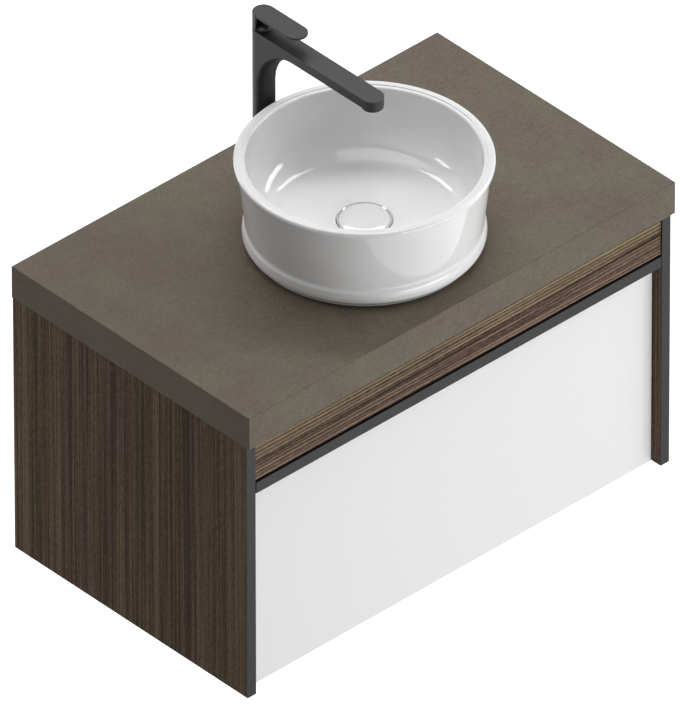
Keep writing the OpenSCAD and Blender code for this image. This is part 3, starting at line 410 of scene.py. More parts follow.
def matt_graphite():
    """Fine graphite coating on cast brass: nearly black, with a soft grey sheen where it faces a light.

    Its grain of 0.7 mm is coarser than the real powder's, so that it shows.
    """
    material, tree, shader = surface("matt_graphite", Roughness=0.44, Specular_IOR_Level=0.36)
    grain = noise(tree, place(tree, (1400, 1400, 1400)), 1.0)
    tree.links.new(ramp(tree, grain, [(0.3, "#0c0c0d"), (0.7, "#111112")]), shader.inputs["Base Color"])
    tree.links.new(spread(tree, grain, 0.3, 0.7, 0.42, 0.48), shader.inputs["Roughness"])
    bump(tree, shader, grain, 0.01 * MM)
    return material


def chrome_plating():
    """Bright nickel-chrome plating: a near mirror with the faintest polishing marks."""
    material, tree, shader = surface("chrome_plating", Metallic=1.0, Roughness=0.08)
    marks = noise(tree, place(tree, (300, 300, 900)), 2.0)
    tree.links.new(ramp(tree, marks, [(0.3, "#c9cacc"), (0.7, "#d6d7d9")]), shader.inputs["Base Color"])
    tree.links.new(spread(tree, marks, 0, 1, 0.06, 0.12), shader.inputs["Roughness"])
    return material


def grained(name, low, high, scale, rough, depth, metallic=0.0, stretch=(1, 1, 1), swing=0.06):
    """A finish with one even grain between two close colours, with a shallow bump and uneven gloss."""
    material, tree, shader = surface(name, Metallic=metallic, Roughness=rough)
    grain = noise(tree, place(tree, tuple(scale * s for s in stretch)), 3.0)
    tree.links.new(ramp(tree, grain, [(0.3, low), (0.7, high)]), shader.inputs["Base Color"])
    tree.links.new(spread(tree, grain, 0.3, 0.7, rough - swing, rough + swing), shader.inputs["Roughness"])
    bump(tree, shader, grain, depth)
    return material


def particle_board():
    """Cut edge of particle board: pale wood chips of 2 to 6 mm pressed in layers, with dark gaps."""
    material, tree, shader = surface("particle_board", Roughness=0.85, Specular_IOR_Level=0.1)
    where = place(tree, (260, 260, 420))
    chips = add(tree, "ShaderNodeTexVoronoi", {"Vector": where, "Scale": 1.0}, feature="F1")
    tone = add(tree, "ShaderNodeSeparateColor", {0: chips.outputs["Color"]}).outputs[0]
    body = ramp(tree, tone, [(0.0, "#8a7252"), (0.45, "#a98f69"), (1.0, "#c6b08a")])
    gaps = spread(tree, chips.outputs["Distance"], 0.45, 0.75, 0.0, 0.6)
    tree.links.new(mix(tree, "MIX", gaps, body, colour("#5f4c36")), shader.inputs["Base Color"])
    bump(tree, shader, spread(tree, chips.outputs["Distance"], 0.2, 0.8, 1.0, 0.0), 0.25 * MM)
    return material


ALONG_X = (0, math.pi / 2, 0)
ALONG_Z = (0, 0, 0)
WALNUT = ("#493c33", "#726154", "#978777")
WALNUT_LEVEL = ("#3b3029", "#746459", "#958371")
FINISH = {
    "walnut_laminate": wood_laminate("walnut_laminate_upright", ALONG_Z, WALNUT, "#a5927c", 0.34, 4.4, 8.0),
    # bolder streaks, further apart, run level along the narrow strip above the drawer
    "fascia_laminate": wood_laminate(
        "walnut_laminate_level", ALONG_X, WALNUT_LEVEL, "#c9b498", 0.75, 5.6, 2.2),
    "carcass_board": wood_laminate("walnut_laminate_inside", ALONG_X, WALNUT, "#a08b72", 0.5, 6.0, 5.0),
    "core_board": particle_board(),
    # melamine pressed with a linen texture: pale warm grey threads along one way
    "drawer_board": grained(
        "linen_melamine", "#cfccc6", "#dbd8d2", 900, 0.5, 0.03 * MM, stretch=(1, 1, 0.25)),
    # turned beech: light, with short fine grain along the dowel
    "beech": grained("beech_wood", "#c09a6c", "#d2b184", 600, 0.6, 0.1 * MM, stretch=(0.1, 1, 1)),
    "white_lacquer": gloss_lacquer(),
    "anthracite_anodised": anodised_aluminium(),
    "stone_top": sintered_stone(),
    "white_glaze": glazed_ceramic(),
    "graphite_coating": matt_graphite(),
    "chrome_plate": chrome_plating(),
    # galvanised sheet steel: a dull bluish metal with soft cloudy spangles about 4 mm wide
    "zinc_steel": grained("zinc_plated_steel", "#a9adb0", "#c3c6c8", 240, 0.32, 0.02 * MM, metallic=1.0),
    # turned brass: warm yellow metal with fine tool marks
    "bare_brass": grained("turned_brass", "#b39045", "#c9a75c", 700, 0.3, 0.01 * MM, metallic=1.0),
    # moulded nitrile rubber: near black and dull
    "black_rubber": grained("black_rubber", "#1c1c1c", "#262626", 500, 0.7, 0.03 * MM),
    # silicone drawn off with a finger: pale grey, softly wavy and half glossy
    "grey_sealant": grained("silicone_sealant", "#c9c9c4", "#d6d6d2", 120, 0.35, 0.1 * MM),
    # moulded polypropylene and acetal: even satin, with a grain coarser than the real one so that it shows
    "white_plastic": grained("white_polypropylene", "#dcdcd8", "#e6e6e2", 700, 0.4, 0.02 * MM),
    "black_plastic": grained("black_acetal", "#161617", "#202021", 700, 0.4, 0.02 * MM),
    "grey_plastic": grained("grey_acetal", "#6c6e70", "#7c7e80", 700, 0.4, 0.02 * MM),
}
DONE = set()   # nodes that a piece already stands for


# ---------- basin, seal and waste ----------

def basin():
    """Round vessel basin: stepped rim over a rolled bead, a wall that narrows down, and a soft foot ring."""
    rim, high = RIM_R / MM, BASIN_H / MM
    foot = [(146.5, 0, 1), (153, 0, 4), (168.9, 9, 8), (168.9, 17.5, 8), (167.8, 24.5, 10)]
    outside = [(165.4, 29.4, 1.2), (165, 33, 3), (175.3, high - 9.6, 1.2), (177, high - 8.8, 0.8)]
    lip = [(rim, high - 7.4, 2.4), (rim, high, 3.7), (170.2, high, 0.5), (169.4, high - 1.2, 0.4)]
    bowl = [(163.8, high - 1.2, 3.4), (162.4, 34, 46), (39.2, 30, 1.8)]
    drain = [(39.2, 23, 0.5), (23.5, 23, 0.5), (23.5, 0, 0.5), (44.2, 0, 1)]
    hollow_under = [(44.2, 19, 3), (120, 23, 20), (146.5, 24, 12)]
    corners = foot + outside + lip + bowl + drain + hollow_under
    hand_over(lathe("basin_piece", corners, BASIN_SEAT, FINISH["white_glaze"], 256, 40), "basin")


def sealant():
    """Bead of sealant under the foot ring, pressed out a little beyond it, and a ring round the waste."""
    seat = upright("basin_sealant")[0]
    outer = [(148.7, 0, 0.2), (159.6, 0, 0.3), (158.6, 2.2, 0.8), (155.5, 1.2, 0.5), (153, 1, 0.2),
             (148.7, 1, 0.2)]
    inner = [(27.5, 0, 0.2), (43.2, 0, 0.2), (43.2, 1, 0.2), (27.5, 1, 0.2)]
    piece = lathe("basin_sealant_piece", outer, seat, FINISH["grey_sealant"], 128)
    ring = lathe("waste_ring_seal", inner, seat, FINISH["grey_sealant"], 96)
    joined(piece, [ring])
    hand_over(piece, "basin_sealant")


def joined(obj, others):
    """Adds the meshes of other objects to an object, and deletes those objects."""
    bm = bmesh.new()
    bm.from_mesh(obj.data)
    for other in others:
        bm.from_mesh(other.data)
        bpy.data.objects.remove(other)
    bm.to_mesh(obj.data)
    bm.free()


def plug():
    """Ceramic cap of the push waste: a shallow dome whose edge is turned down into the recess."""
    axis, radius, height = upright("plug_cap")
    r, h = radius / MM, height / MM
    corners = [(0, 0), (r - 0.8, 0, 0.4), (r, 0.8, 0.4), (r, h - 2.3, 1.1), (r * 0.72, h - 0.5, 30), (0, h)]
    hand_over(lathe("plug_cap_piece", corners, axis, FINISH["white_glaze"], 128, 50), "plug_cap")


# ---------- mixer ----------

def stadium_ring(bm, reach, radius, height, steps=28):
    """Ring of corners round two half circles: one on the column's axis and one `reach` in front of it."""
    ring = []
    for end, start in ((0, 0), (-reach, math.pi)):
        for k in range(steps + 1):
            angle = start + math.pi * k / steps
            spot = (radius * math.cos(angle), end + radius * math.sin(angle), height)
            ring.append(bm.verts.new(TAP_AXIS + Vector(spot)))
    return ring


SWEEP_R = 74 * MM            # between the column and the spout's underside
SWEEP_STEPS = 32
SPOUT_UNDER = TAP_HIGH.z - 14.6 * MM
TIP = TAP_AXIS - Vector((0, SPOUT_REACH, 0))
CHAMBER_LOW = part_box("cartridge_body")[0].z - 0.2 * MM
CHAMBER_R = 13 * MM
STUD_HOLE_R, STUD_HOLE_DEEP = 4.05 * MM, 14 * MM
INLET_R, INLET_DEEP = 5 * MM, 12 * MM
RISER_R = 3.5 * MM           # from an inlet up to the chamber
WATERWAY_R = 4.2 * MM        # along the spout
OUTLET_R = 11.15 * MM
COLLAR_R = 15.8              # mm, round the outlet
OUTLET_LOW, OUTLET_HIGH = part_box("aerator_insert")


def tap_shell():
    """Column and spout as one closed skin, drawn through rings from the foot up."""
    bm = bmesh.new()
    rings = [stadium_ring(bm, 0, TAP_R, TAP_LOW.z), stadium_ring(bm, 0, TAP_R, SPOUT_UNDER - SWEEP_R)]
    for k in range(1, SWEEP_STEPS + 1):
        angle = math.pi / 2 * k / SWEEP_STEPS
        reach, drop = SWEEP_R * (1 - math.cos(angle)), SWEEP_R * (1 - math.sin(angle))
        rings.append(stadium_ring(bm, reach, TAP_R, SPOUT_UNDER - drop))
    rings.append(stadium_ring(bm, SPOUT_REACH, TAP_R, SPOUT_UNDER))
    rings.append(stadium_ring(bm, SPOUT_REACH, TAP_R, TAP_HIGH.z))
    count = len(rings[0])
    for ring, other in zip(rings, rings[1:]):
        for k in range(count):
            bm.faces.new([ring[k], ring[(k + 1) % count], other[(k + 1) % count], other[k]])
    bm.faces.new(rings[0])
    bm.faces.new(rings[-1])
    bmesh.ops.remove_doubles(bm, verts=bm.verts, dist=WELD)
    bmesh.ops.dissolve_degenerate(bm, edges=bm.edges, dist=WELD)
    bmesh.ops.recalc_face_normals(bm, faces=bm.faces)
    behind = [v for v in bm.verts if abs(v.co.z - TAP_HIGH.z) < WELD and v.co.y > TAP_AXIS.y - WELD]
    edges = [e for v in behind for e in v.link_edges if len(e.link_faces) == 2 and e.calc_face_angle(0) > 1]
    back_edge = list({e for e in edges if all(v in behind for v in e.verts)})
    bevelled(bm, back_edge, 1.6 * MM, 4)
    eased(bm, 0.8 * MM, 3, 50)
    return as_object(bm, "tap_body_piece", FINISH["graphite_coating"])


def tap_bores():
    """Cutters for the cartridge's chamber, the stud's hole, the outlet, the waterway and the two inlets."""
    foot = UP * TAP_LOW.z
    stud = upright("tap_stud")[0]
    stud.z = TAP_LOW.z
    outlet, outlet_top = TIP + UP * (OUTLET_LOW.z - 6 * MM), TIP + UP * (OUTLET_HIGH.z + 0.6 * MM)
    waterway = UP * (SPOUT_UNDER + 6.75 * MM)
    cutters = [
        rod("chamber", TAP_AXIS + UP * CHAMBER_LOW, TAP_AXIS + UP * (TAP_HIGH.z + 5 * MM), CHAMBER_R, 64),
        rod("stud_hole", stud - UP * MM, stud + UP * STUD_HOLE_DEEP, STUD_HOLE_R),
        rod("outlet_bore", outlet, outlet_top, OUTLET_R, 64),
        rod("waterway", TIP + waterway, TAP_AXIS + waterway, WATERWAY_R),
    ]
    for side in (-1, 1):
        spot = TAP_AXIS + Vector((side * 7.5 * MM, -4 * MM, 0))
        cutters.append(rod("inlet", spot + foot - UP * MM, spot + foot + UP * INLET_DEEP, INLET_R))
        cutters.append(rod("riser", spot + foot, spot + UP * (CHAMBER_LOW + MM), RISER_R, 24))
    return cutters


def tap_body():
    """Column and spout in one casting, with a collar round the outlet and the bores for what sits inside."""
    body = tap_shell()
    collar_low = OUTLET_LOW.z - 0.4 * MM
    collar_h = (SPOUT_UNDER - collar_low) / MM
    collar = [(0, 0), (COLLAR_R - 0.4, 0, 0.7), (COLLAR_R, collar_h, 0.4), (COLLAR_R, 7, 0.2), (0, 7)]
    cut(body, [lathe("collar", collar, TIP + UP * collar_low, FINISH["graphite_coating"], 96)], "UNION")
    cut(body, tap_bores())
    mark_sharp(body)
    hand_over(flat_shaded(body), "tap_body")


def mark_sharp(obj, angle=35, flat=0.05):
    """Joins a mesh's flat faces, shades it smooth and marks the edges that are sharper than the angle."""
    bm = bmesh.new()
    bm.from_mesh(obj.data)
    if flat:
        bmesh.ops.dissolve_limit(bm, angle_limit=math.radians(flat), verts=bm.verts, edges=bm.edges)
    smooth_up_to(bm, angle)
    bm.to_mesh(obj.data)
    bm.free()


# ---------- things that repeat, grown by geometry nodes ----------

def new_tree(name, sizes):
    """A geometry tree with a geometry input, the named sizes as inputs, and a geometry output."""
    tree = bpy.data.node_groups.new(name, "GeometryNodeTree")
    tree.interface.new_socket("Geometry", in_out="INPUT", socket_type="NodeSocketGeometry")
    for label, value in sizes.items():
        kind = {int: "NodeSocketInt", float: "NodeSocketFloat"}.get(type(value), "NodeSocketMaterial")
        socket = tree.interface.new_socket(label, in_out="INPUT", socket_type=kind)
        if kind != "NodeSocketMaterial":
            socket.default_value = value
    tree.interface.new_socket("Geometry", in_out="OUTPUT", socket_type="NodeSocketGeometry")
    return tree, add(tree, "NodeGroupInput").outputs


def close_tree(tree, geometry, material):
    """Ends a geometry tree: instances become real, and take their material."""
    real = add(tree, "GeometryNodeRealizeInstances", {0: geometry}).outputs[0]
    finished = add(tree, "GeometryNodeSetMaterial", {"Geometry": real, "Material": material}).outputs[0]
    add(tree, "NodeGroupOutput", {0: finished})


def on_points(tree, base, piece):
    """Puts the piece on every point of the base, with its Z along the point's normal."""
    aim = add(tree, "GeometryNodeInputNamedAttribute", {"Name": "aim"}, data_type="FLOAT_VECTOR").outputs[0]
    turn = add(tree, "FunctionNodeAlignRotationToVector", {"Vector": aim}, axis="Z").outputs[0]
    copies = add(tree, "GeometryNodeInstanceOnPoints", {"Points": base, "Instance": piece, "Rotation": turn})
    return copies.outputs[0]


def moved(tree, geometry, x=0.0, y=0.0, z=0.0):
    """Moves geometry by three numbers, each of which may be a link."""
    by = add(tree, "ShaderNodeCombineXYZ", {0: x, 1: y, 2: z}).outputs[0]
    return add(tree, "GeometryNodeTransform", {"Geometry": geometry, "Translation": by}).outputs[0]


def helix(tree, geometry, pitch, depth):
    """Presses a thread of the given pitch and depth into a cylinder round Z."""
    where = add(tree, "GeometryNodeInputPosition").outputs[0]
    x, y, z = add(tree, "ShaderNodeSeparateXYZ", {0: where}).outputs
    turn = maths(tree, "DIVIDE", maths(tree, "ARCTAN2", y, x), 2 * math.pi)
    phase = maths(tree, "SUBTRACT", maths(tree, "DIVIDE", z, pitch), turn)
    wave = maths(tree, "PINGPONG", phase, 0.5)
    inward = maths(tree, "MULTIPLY", maths(tree, "MULTIPLY", wave, -2.0), depth)
    return pushed(tree, geometry, x, y, inward)


def pushed(tree, geometry, x, y, distance):
    """Moves each corner away from the Z axis by the distance, or towards it where that is below zero."""
    flat = add(tree, "ShaderNodeCombineXYZ", {0: x, 1: y}).outputs[0]
    out = add(tree, "ShaderNodeVectorMath", {0: flat}, operation="NORMALIZE").outputs[0]
    shift = add(tree, "ShaderNodeVectorMath", {0: out, "Scale": distance}, operation="SCALE").outputs[0]
    return add(tree, "GeometryNodeSetPosition", {"Geometry": geometry, "Offset": shift}).outputs[0]


def threaded(tree, sizes, radius, sides):
    """Cylinder with a thread, from the origin up, with four rows of faces to each pitch."""
    pitches = maths(tree, "DIVIDE", sizes["Length"], sizes["Pitch"])
    rows = maths(tree, "CEIL", maths(tree, "MULTIPLY", pitches, 4.0))
    body = add(tree, "GeometryNodeMeshCylinder", {
        "Vertices": sides, "Side Segments": rows, "Radius": radius, "Depth": sizes["Length"],
    }).outputs["Mesh"]
    body = moved(tree, body, z=maths(tree, "MULTIPLY", sizes["Length"], 0.5))
    return helix(tree, body, sizes["Pitch"], sizes["Depth"])


def threaded_rod_tree():
    """Tree for a rod with a rolled thread, put on each point along its aim."""
    tree, sizes = new_tree("threaded_rod", {
        "Radius": 2.0 * MM, "Length": 20.0 * MM, "Pitch": 1.4 * MM, "Depth": 0.5 * MM, "Sides": 16,
        "Material": None})
    body = threaded(tree, sizes, sizes["Radius"], sizes["Sides"])
    close_tree(tree, on_points(tree, sizes["Geometry"], body), sizes["Material"])
    return tree


def screw_tree():
    """Tree for a pan-head screw with a cross recess, put on each point with its shank along the aim."""
    tree, sizes = new_tree("pan_head_screw", {
        "Shank Radius": 2.0 * MM, "Length": 20.0 * MM, "Pitch": 1.8 * MM, "Depth": 0.55 * MM,
        "Head Radius": 4.0 * MM, "Head Height": 2.0 * MM, "Recess": 0.8 * MM, "Material": None})
    shank = threaded(tree, sizes, sizes["Shank Radius"], 14)
    head = add(tree, "GeometryNodeMeshCylinder", {
        "Vertices": 28, "Side Segments": 4, "Fill Segments": 3, "Radius": sizes["Head Radius"],
        "Depth": sizes["Head Height"],
    }).outputs["Mesh"]
    head = moved(tree, head, z=maths(tree, "MULTIPLY", sizes["Head Height"], -0.5))
    where = add(tree, "GeometryNodeInputPosition").outputs[0]
    x, y, z = add(tree, "ShaderNodeSeparateXYZ", {0: where}).outputs
    down = maths(tree, "DIVIDE", maths(tree, "MULTIPLY", z, -1.0), sizes["Head Height"])
    pull = maths(tree, "MULTIPLY", maths(tree, "POWER", down, 3.0), -0.28)
    shift = add(tree, "ShaderNodeCombineXYZ", {
        0: maths(tree, "MULTIPLY", x, pull), 1: maths(tree, "MULTIPLY", y, pull)}).outputs[0]
    head = add(tree, "GeometryNodeSetPosition", {"Geometry": head, "Offset": shift}).outputs[0]
    slots = []
    for wide, deep in ((1.1, 0.2), (0.2, 1.1)):
        size = add(tree, "ShaderNodeCombineXYZ", {
            0: maths(tree, "MULTIPLY", sizes["Head Radius"], wide),
            1: maths(tree, "MULTIPLY", sizes["Head Radius"], deep),
            2: maths(tree, "MULTIPLY", sizes["Recess"], 2.0)}).outputs[0]
        slot = add(tree, "GeometryNodeMeshCube", {"Size": size}).outputs["Mesh"]
        slots.append(moved(tree, slot, z=maths(tree, "MULTIPLY", sizes["Head Height"], -1.0)))
    recess = add(tree, "GeometryNodeMeshBoolean", {"Mesh 1": head}, operation="DIFFERENCE")
    for slot in slots:
        tree.links.new(slot, recess.inputs["Mesh 2"])
    screw = add(tree, "GeometryNodeJoinGeometry", {0: shank})
    tree.links.new(recess.outputs[0], screw.inputs[0])
    close_tree(tree, on_points(tree, sizes["Geometry"], screw.outputs[0]), sizes["Material"])
    return tree


def dowel_tree():
    """Tree for a beech dowel with pressed flutes and chamfered ends, put on each point along its aim."""
    tree, sizes = new_tree("fluted_dowel", {
        "Radius": 4.0 * MM, "Length": 30.0 * MM, "Flutes": 12, "Depth": 0.3 * MM, "Chamfer": 1.0 * MM,
        "Material": None})
    sides = maths(tree, "MULTIPLY", sizes["Flutes"], 4.0)
    body = add(tree, "GeometryNodeMeshCylinder", {
        "Vertices": sides, "Side Segments": 12, "Radius": sizes["Radius"], "Depth": sizes["Length"],
    }).outputs["Mesh"]
    where = add(tree, "GeometryNodeInputPosition").outputs[0]
    x, y, z = add(tree, "ShaderNodeSeparateXYZ", {0: where}).outputs
    turn = maths(tree, "MULTIPLY", maths(tree, "ARCTAN2", y, x), sizes["Flutes"])
    wave = maths(tree, "ABSOLUTE", maths(tree, "SINE", maths(tree, "MULTIPLY", turn, 0.5)))
    groove = maths(tree, "MULTIPLY", wave, sizes["Depth"])
    half = maths(tree, "MULTIPLY", sizes["Length"], 0.5)
    straight = maths(tree, "SUBTRACT", half, sizes["Chamfer"])
    past = maths(tree, "SUBTRACT", maths(tree, "ABSOLUTE", z), straight)
    near_end = maths(tree, "MAXIMUM", past, 0.0)
    inward = maths(tree, "MULTIPLY", maths(tree, "ADD", groove, near_end), -1.0)
    body = moved(tree, pushed(tree, body, x, y, inward), z=half)
    close_tree(tree, on_points(tree, sizes["Geometry"], body), sizes["Material"])
    return tree


def mesh_screen_tree():
    """Tree for a round woven screen: a square lattice of wires, kept inside a circle round each point."""
    tree, sizes = new_tree("woven_screen", {
        "Radius": 9.0 * MM, "Pitch": 1.3 * MM, "Wire": 0.28 * MM, "Material": None})
    across = maths(tree, "MULTIPLY", sizes["Radius"], 2.0)
    lines = maths(tree, "CEIL", maths(tree, "DIVIDE", across, sizes["Pitch"]))
    grid = add(tree, "GeometryNodeMeshGrid", {
        "Size X": across, "Size Y": across, "Vertices X": lines, "Vertices Y": lines}).outputs["Mesh"]
    where = add(tree, "GeometryNodeInputPosition").outputs[0]
    far = add(tree, "ShaderNodeVectorMath", {0: where}, operation="LENGTH").outputs["Value"]
    outside = add(tree, "FunctionNodeCompare", {0: far, 1: sizes["Radius"]}, operation="GREATER_THAN")
    kept = add(tree, "GeometryNodeDeleteGeometry", {"Geometry": grid, "Selection": outside.outputs[0]})
    wires = add(tree, "GeometryNodeMeshToCurve", {"Mesh": kept.outputs[0]}).outputs[0]
    circle = add(tree, "GeometryNodeCurvePrimitiveCircle", {"Resolution": 6, "Radius": sizes["Wire"]})
    screen = add(tree, "GeometryNodeCurveToMesh", {
        "Curve": wires, "Profile Curve": circle.outputs[0], "Fill Caps": True}).outputs[0]
    close_tree(tree, on_points(tree, sizes["Geometry"], screen), sizes["Material"])
    return tree


def grown(name, tree, spots, material, **sizes):
    """Evaluates a tree on points given as (place, aim), and returns the plain mesh object that it makes."""
    mesh = bpy.data.meshes.new(name)
    mesh.from_pydata([spot for spot, _ in spots], [], [])
    aim = mesh.attributes.new("aim", "FLOAT_VECTOR", "POINT")
    for k, (_, direction) in enumerate(spots):
        aim.data[k].vector = direction
    obj = bpy.data.objects.new(name, mesh)
    bpy.context.scene.collection.objects.link(obj)
    modifier = obj.modifiers.new("grow", "NODES")
    modifier.node_group = tree
    sockets = {item.name: item.identifier for item in tree.interface.items_tree if item.in_out == "INPUT"}
    for label, value in sizes.items():
        modifier[sockets[label.replace("_", " ")]] = value
    modifier[sockets["Material"]] = material
    baked(obj)
    mark_sharp(obj, 40, 0)
    return obj


SAME = 0.1 * MM   # lengths nearer than this count as equal


def pins(node):
    """Where each screw or pin of a node starts, which way it points, its length and its radius.

    It starts at its wider end, or else at the end that is nearer to zero on its axis.
    """
    found = []
    for corners in solids(node):
        low = Vector([min(c[i] for c in corners) for i in range(3)])
        high = Vector([max(c[i] for c in corners) for i in range(3)])
        size, centre = high - low, (low + high) / 2
        axis = max(range(3), key=lambda i: size[i])
        others = [i for i in range(3) if i != axis]
        wide = []
        for end in (low, high):
            at_end = [c - centre for c in corners if abs(c[axis] - end[axis]) < SAME]
            wide.append(max(abs(c[i]) for c in at_end for i in others))
        alike = abs(wide[0] - wide[1]) <= SAME
        head_low = wide[0] > wide[1] + SAME or (alike and abs(low[axis]) < abs(high[axis]))
        start, aim = centre.copy(), Vector((0, 0, 0))
        start[axis] = low[axis] if head_low else high[axis]
        aim[axis] = 1 if head_low else -1
        found.append((start, aim, size[axis], max(wide)))
    return found


PAN_HEAD = {"Head_Height": 2.0 * MM, "Head_Radius": 4.0 * MM, "Recess": 0.8 * MM}
NO_HEAD = {"Head_Height": 0.2 * MM, "Head_Radius": 2.0 * MM, "Recess": 0.15 * MM}


def screws(node, tree):
    """Real screws for a node of plain ones, one group for each length. A narrow pin gets no head."""
    groups = {}
    for start, aim, length, radius in pins(node):
        has_head = radius > 2.5 * MM
        head_h = (PAN_HEAD if has_head else NO_HEAD)["Head_Height"]
        groups.setdefault((round(length, 4), has_head), []).append((start + aim * head_h, aim))
    made = []
    for (length, has_head), spots in sorted(groups.items()):
        head = PAN_HEAD if has_head else NO_HEAD
        made.append(grown(node + "_piece", tree, spots, FINISH[RECORD[node]["material_slot"]],
                          Length=length - head["Head_Height"], **head))
    joined(made[0], made[1:])
    hand_over(made[0], node)


def small_parts():
    """Screws, dowels and the threaded stud."""
    tree = screw_tree()
    for node in ("top_screws", "drawer_screws", "panel_screws"):
        screws(node, tree)
    dowels = pins("dowels")
    spots = [(start, aim) for start, aim, _, _ in dowels]
    hand_over(grown("dowels_piece", dowel_tree(), spots, FINISH["beech"], Length=dowels[0][2]), "dowels")
    foot, radius, height = upright("tap_stud")
    hand_over(grown("tap_stud_piece", threaded_rod_tree(), [(foot, UP)], FINISH["zinc_steel"], Radius=radius,
                    Length=height, Pitch=1.25 * MM, Depth=0.6 * MM, Sides=24), "tap_stud")


def aerator():
    """Aerator in the spout's tip: a ring with key notches round a woven screen."""
    axis, radius, height = upright("aerator_insert")
    r, h = radius / MM, height / MM
    corners = [(0, 3.5), (r - 2, 3.5, 0.3), (r - 2, 0, 0.4), (r, 0, 0.4), (r, h, 0.5), (r - 1.5, h, 0.3),
               (r - 1.5, h - 1, 0.3), (0, h - 1)]
    ring = lathe("aerator_insert_piece", corners, axis, FINISH["grey_plastic"], 96)
    notches = []
    for k in range(6):
        side = Vector((math.cos(math.pi * k / 3), math.sin(math.pi * k / 3), 0))
        spot = axis + side * (r - 1.7) * MM
        notches.append(rod("notch", spot - UP * MM, spot + UP * 1.4 * MM, 0.9 * MM, 16))
    cut(ring, notches)
    mark_sharp(ring)
    screen = grown("aerator_screen", mesh_screen_tree(), [(axis + UP * 2.2 * MM, UP)], FINISH["grey_plastic"],
                   Radius=(r - 1.6) * MM)
    joined(ring, [screen])
    hand_over(ring, "aerator_insert")


# ---------- boards and the rest ----------

BEVEL = {   # how far the edges of a piece are eased, in mm
    "tap_lever": 0.5, "tap_base_ring": 0.6, "drawer_front": 0.8, "grip_rail": 0.3,
    "edging_left": 0.3, "edging_right": 0.3, "side_panel_left": 0.2, "side_panel_right": 0.2,
    "countertop_plate": 0.8, "countertop_edge_front": 0.8, "countertop_edge_left": 0.8,
    "countertop_edge_right": 0.8, "fascia_panel": 0.3,
}
PLAIN_BEVEL = 0.25
RAW_BACK = ("side_panel_left", "side_panel_right", "bottom_panel")


def bare_back_edge(obj):
    """Leaves the edge that faces the wall without laminate, as on a real carcass."""
    wall = max(v.co.y for v in obj.data.vertices)
    obj.data.materials.append(FINISH["core_board"])
    for face in obj.data.polygons:
        if face.center.y > wall - 0.02 * MM:
            face.material_index = 1


def dress_frame():
    """Gives every remaining CAD node its finish, on a copy with eased edges."""
    for node in sorted(set(frame["nodes"]) - DONE):
        piece = clean_copy(node, FINISH[RECORD[node]["material_slot"]], BEVEL.get(node, PLAIN_BEVEL) * MM)
        if node in RAW_BACK:
            bare_back_edge(piece)
        hand_over(piece, node)


# ---------- stage ----------

AIM = Vector((0, -0.25, 0.5))   # what the lamps face
AMBIENT = 0.06                  # light of the white room
FLOOR_BOUNCE = 0.6              # floor's colour where it only gives light
FLOOR_GLOW = 0.62               # its own brightness to the eye under the object
GLOW_FULL = (1.2, 3.0)          # it rises to 1 between these distances
FLOOR_Z = -0.6
LAMPS = {   # direction from the object, distance, size, and what it adds to a white surface that faces it
    "overhead": ((-0.12, 0.05, 1), 2.8, (2.4, 2.0), 0.38),
    "back_right": ((0.41, 0.44, 0.88), 3.0, (2.8, 0.75), 0.5),
    "back_left": ((-0.3, 0.94, 0.12), 2.8, (1.8, 0.9), 0.24),
    "left_edge": ((-0.62, 0.56, 0.55), 3.0, (0.9, 0.4), 0.1),
    "right": ((0.84, -0.34, 0.48), 3.0, (1.8, 0.6), 0.34),
    "front": ((0.16, -0.97, -0.12), 3.6, (3.0, 1.4), 0.68),
}


def seen_in_gloss(tree):
    """1 where a surface is seen directly, in a reflection or through glass, 0 where it only gives light."""
    path = add(tree, "ShaderNodeLightPath").outputs
    seen = maths(tree, "MAXIMUM", path["Is Camera Ray"], path["Is Glossy Ray"])
    return maths(tree, "MAXIMUM", seen, path["Is Transmission Ray"])


def white_room(scene):
    """World that is white to look at, and gives only a little light."""
    scene.world = bpy.data.worlds.new("white_room")
    tree = cleared(scene.world)
    glow = spread(tree, seen_in_gloss(tree), 0, 1, AMBIENT, 1.0)
    back = add(tree, "ShaderNodeBackground", {"Color": (1, 1, 1, 1), "Strength": glow})
    add(tree, "ShaderNodeOutputWorld", {"Surface": back.outputs[0]})


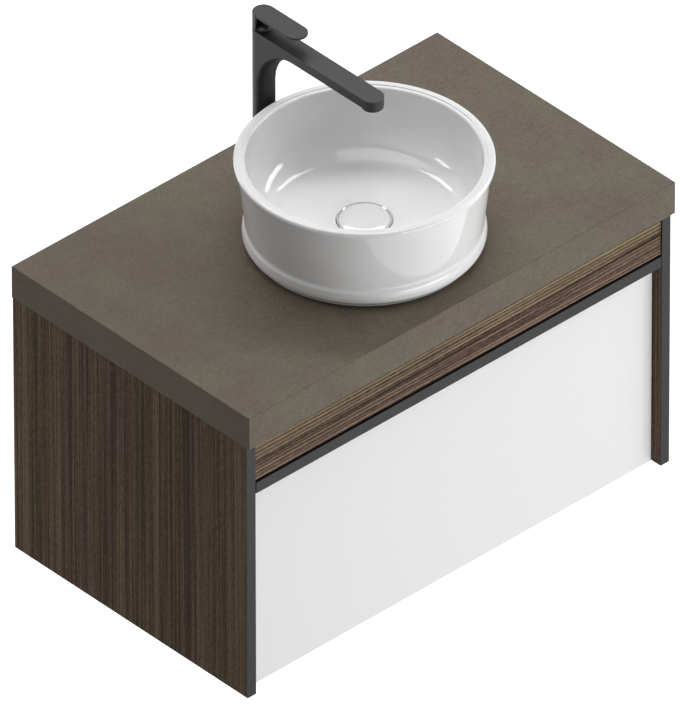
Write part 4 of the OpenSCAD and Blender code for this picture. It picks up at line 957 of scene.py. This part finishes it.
def white_floor():
    """Pale floor that keeps the object's shadow, and goes over into the white room away from it."""
    material = bpy.data.materials.new("white_floor")
    tree = cleared(material)
    dim = add(tree, "ShaderNodeBsdfDiffuse", {"Color": (FLOOR_BOUNCE,) * 3 + (1,)})
    pale = add(tree, "ShaderNodeBsdfDiffuse", {"Color": (0.8, 0.8, 0.8, 1)})
    where = add(tree, "ShaderNodeTexCoord").outputs["Object"]
    far = add(tree, "ShaderNodeVectorMath", {0: where}, operation="LENGTH").outputs["Value"]
    glow = spread(tree, far, *GLOW_FULL, FLOOR_GLOW, 1.0)
    lift = add(tree, "ShaderNodeEmission", {"Color": (1, 1, 1, 1), "Strength": glow})
    shown = add(tree, "ShaderNodeAddShader", {0: pale.outputs[0], 1: lift.outputs[0]})
    both = add(tree, "ShaderNodeMixShader", {0: seen_in_gloss(tree), 1: dim.outputs[0], 2: shown.outputs[0]})
    add(tree, "ShaderNodeOutputMaterial", {"Surface": both.outputs[0]})
    bm = bmesh.new()
    bmesh.ops.create_grid(bm, x_segments=1, y_segments=1, size=12)
    bmesh.ops.translate(bm, verts=bm.verts, vec=(0, 0, FLOOR_Z))
    as_object(bm, "floor", material)


def lamps(scene):
    """Soft boxes round the object."""
    for name, (direction, distance, size, level) in LAMPS.items():
        data = bpy.data.lights.new(name, "AREA")
        data.shape = "RECTANGLE"
        data.size, data.size_y = size
        direction = Vector(direction).normalized()
        data.energy = level * math.pi ** 2 * distance ** 2
        lamp = bpy.data.objects.new(name, data)
        lamp.location = AIM + direction * distance
        lamp.rotation_mode = "QUATERNION"
        lamp.rotation_quaternion = direction.to_track_quat("Z", "Y")
        lamp.visible_camera = False
        scene.collection.objects.link(lamp)


VIEW_FROM = (-42.905, 36.629, -0.079)      # azimuth, elevation and roll in degrees
VIEW_DISTANCE = 43.05
VIEW_MIDDLE = Vector((0, -0.24, 0.38))
VIEW_SHIFT = (-5.7 * MM, -93.1 * MM)        # to the right and up in the picture


def camera(scene):
    """Camera far away with a long lens, high in front on the left."""
    data = bpy.data.cameras.new("camera")
    data.lens = 1600
    data.clip_start, data.clip_end = 1, 200
    obj = bpy.data.objects.new("camera", data)
    scene.collection.objects.link(obj)
    scene.camera = obj
    azimuth, elevation, roll = (math.radians(a) for a in VIEW_FROM)
    level = math.cos(elevation)
    back = Vector((math.sin(azimuth) * level, -math.cos(azimuth) * level, math.sin(elevation)))
    right = Vector((math.cos(azimuth), math.sin(azimuth), 0))
    target = VIEW_MIDDLE + right * VIEW_SHIFT[0] + back.cross(right) * VIEW_SHIFT[1]
    obj.rotation_mode = "QUATERNION"
    obj.rotation_quaternion = (-back).to_track_quat("-Z", "Y") @ Matrix.Rotation(roll, 3, "Z").to_quaternion()
    obj.location = target + back * VIEW_DISTANCE


basin()
sealant()
plug()
tap_body()
aerator()
small_parts()
dress_frame()
bpy.context.scene.view_settings.view_transform = "Standard"
white_room(bpy.context.scene)
white_floor()
lamps(bpy.context.scene)
camera(bpy.context.scene)
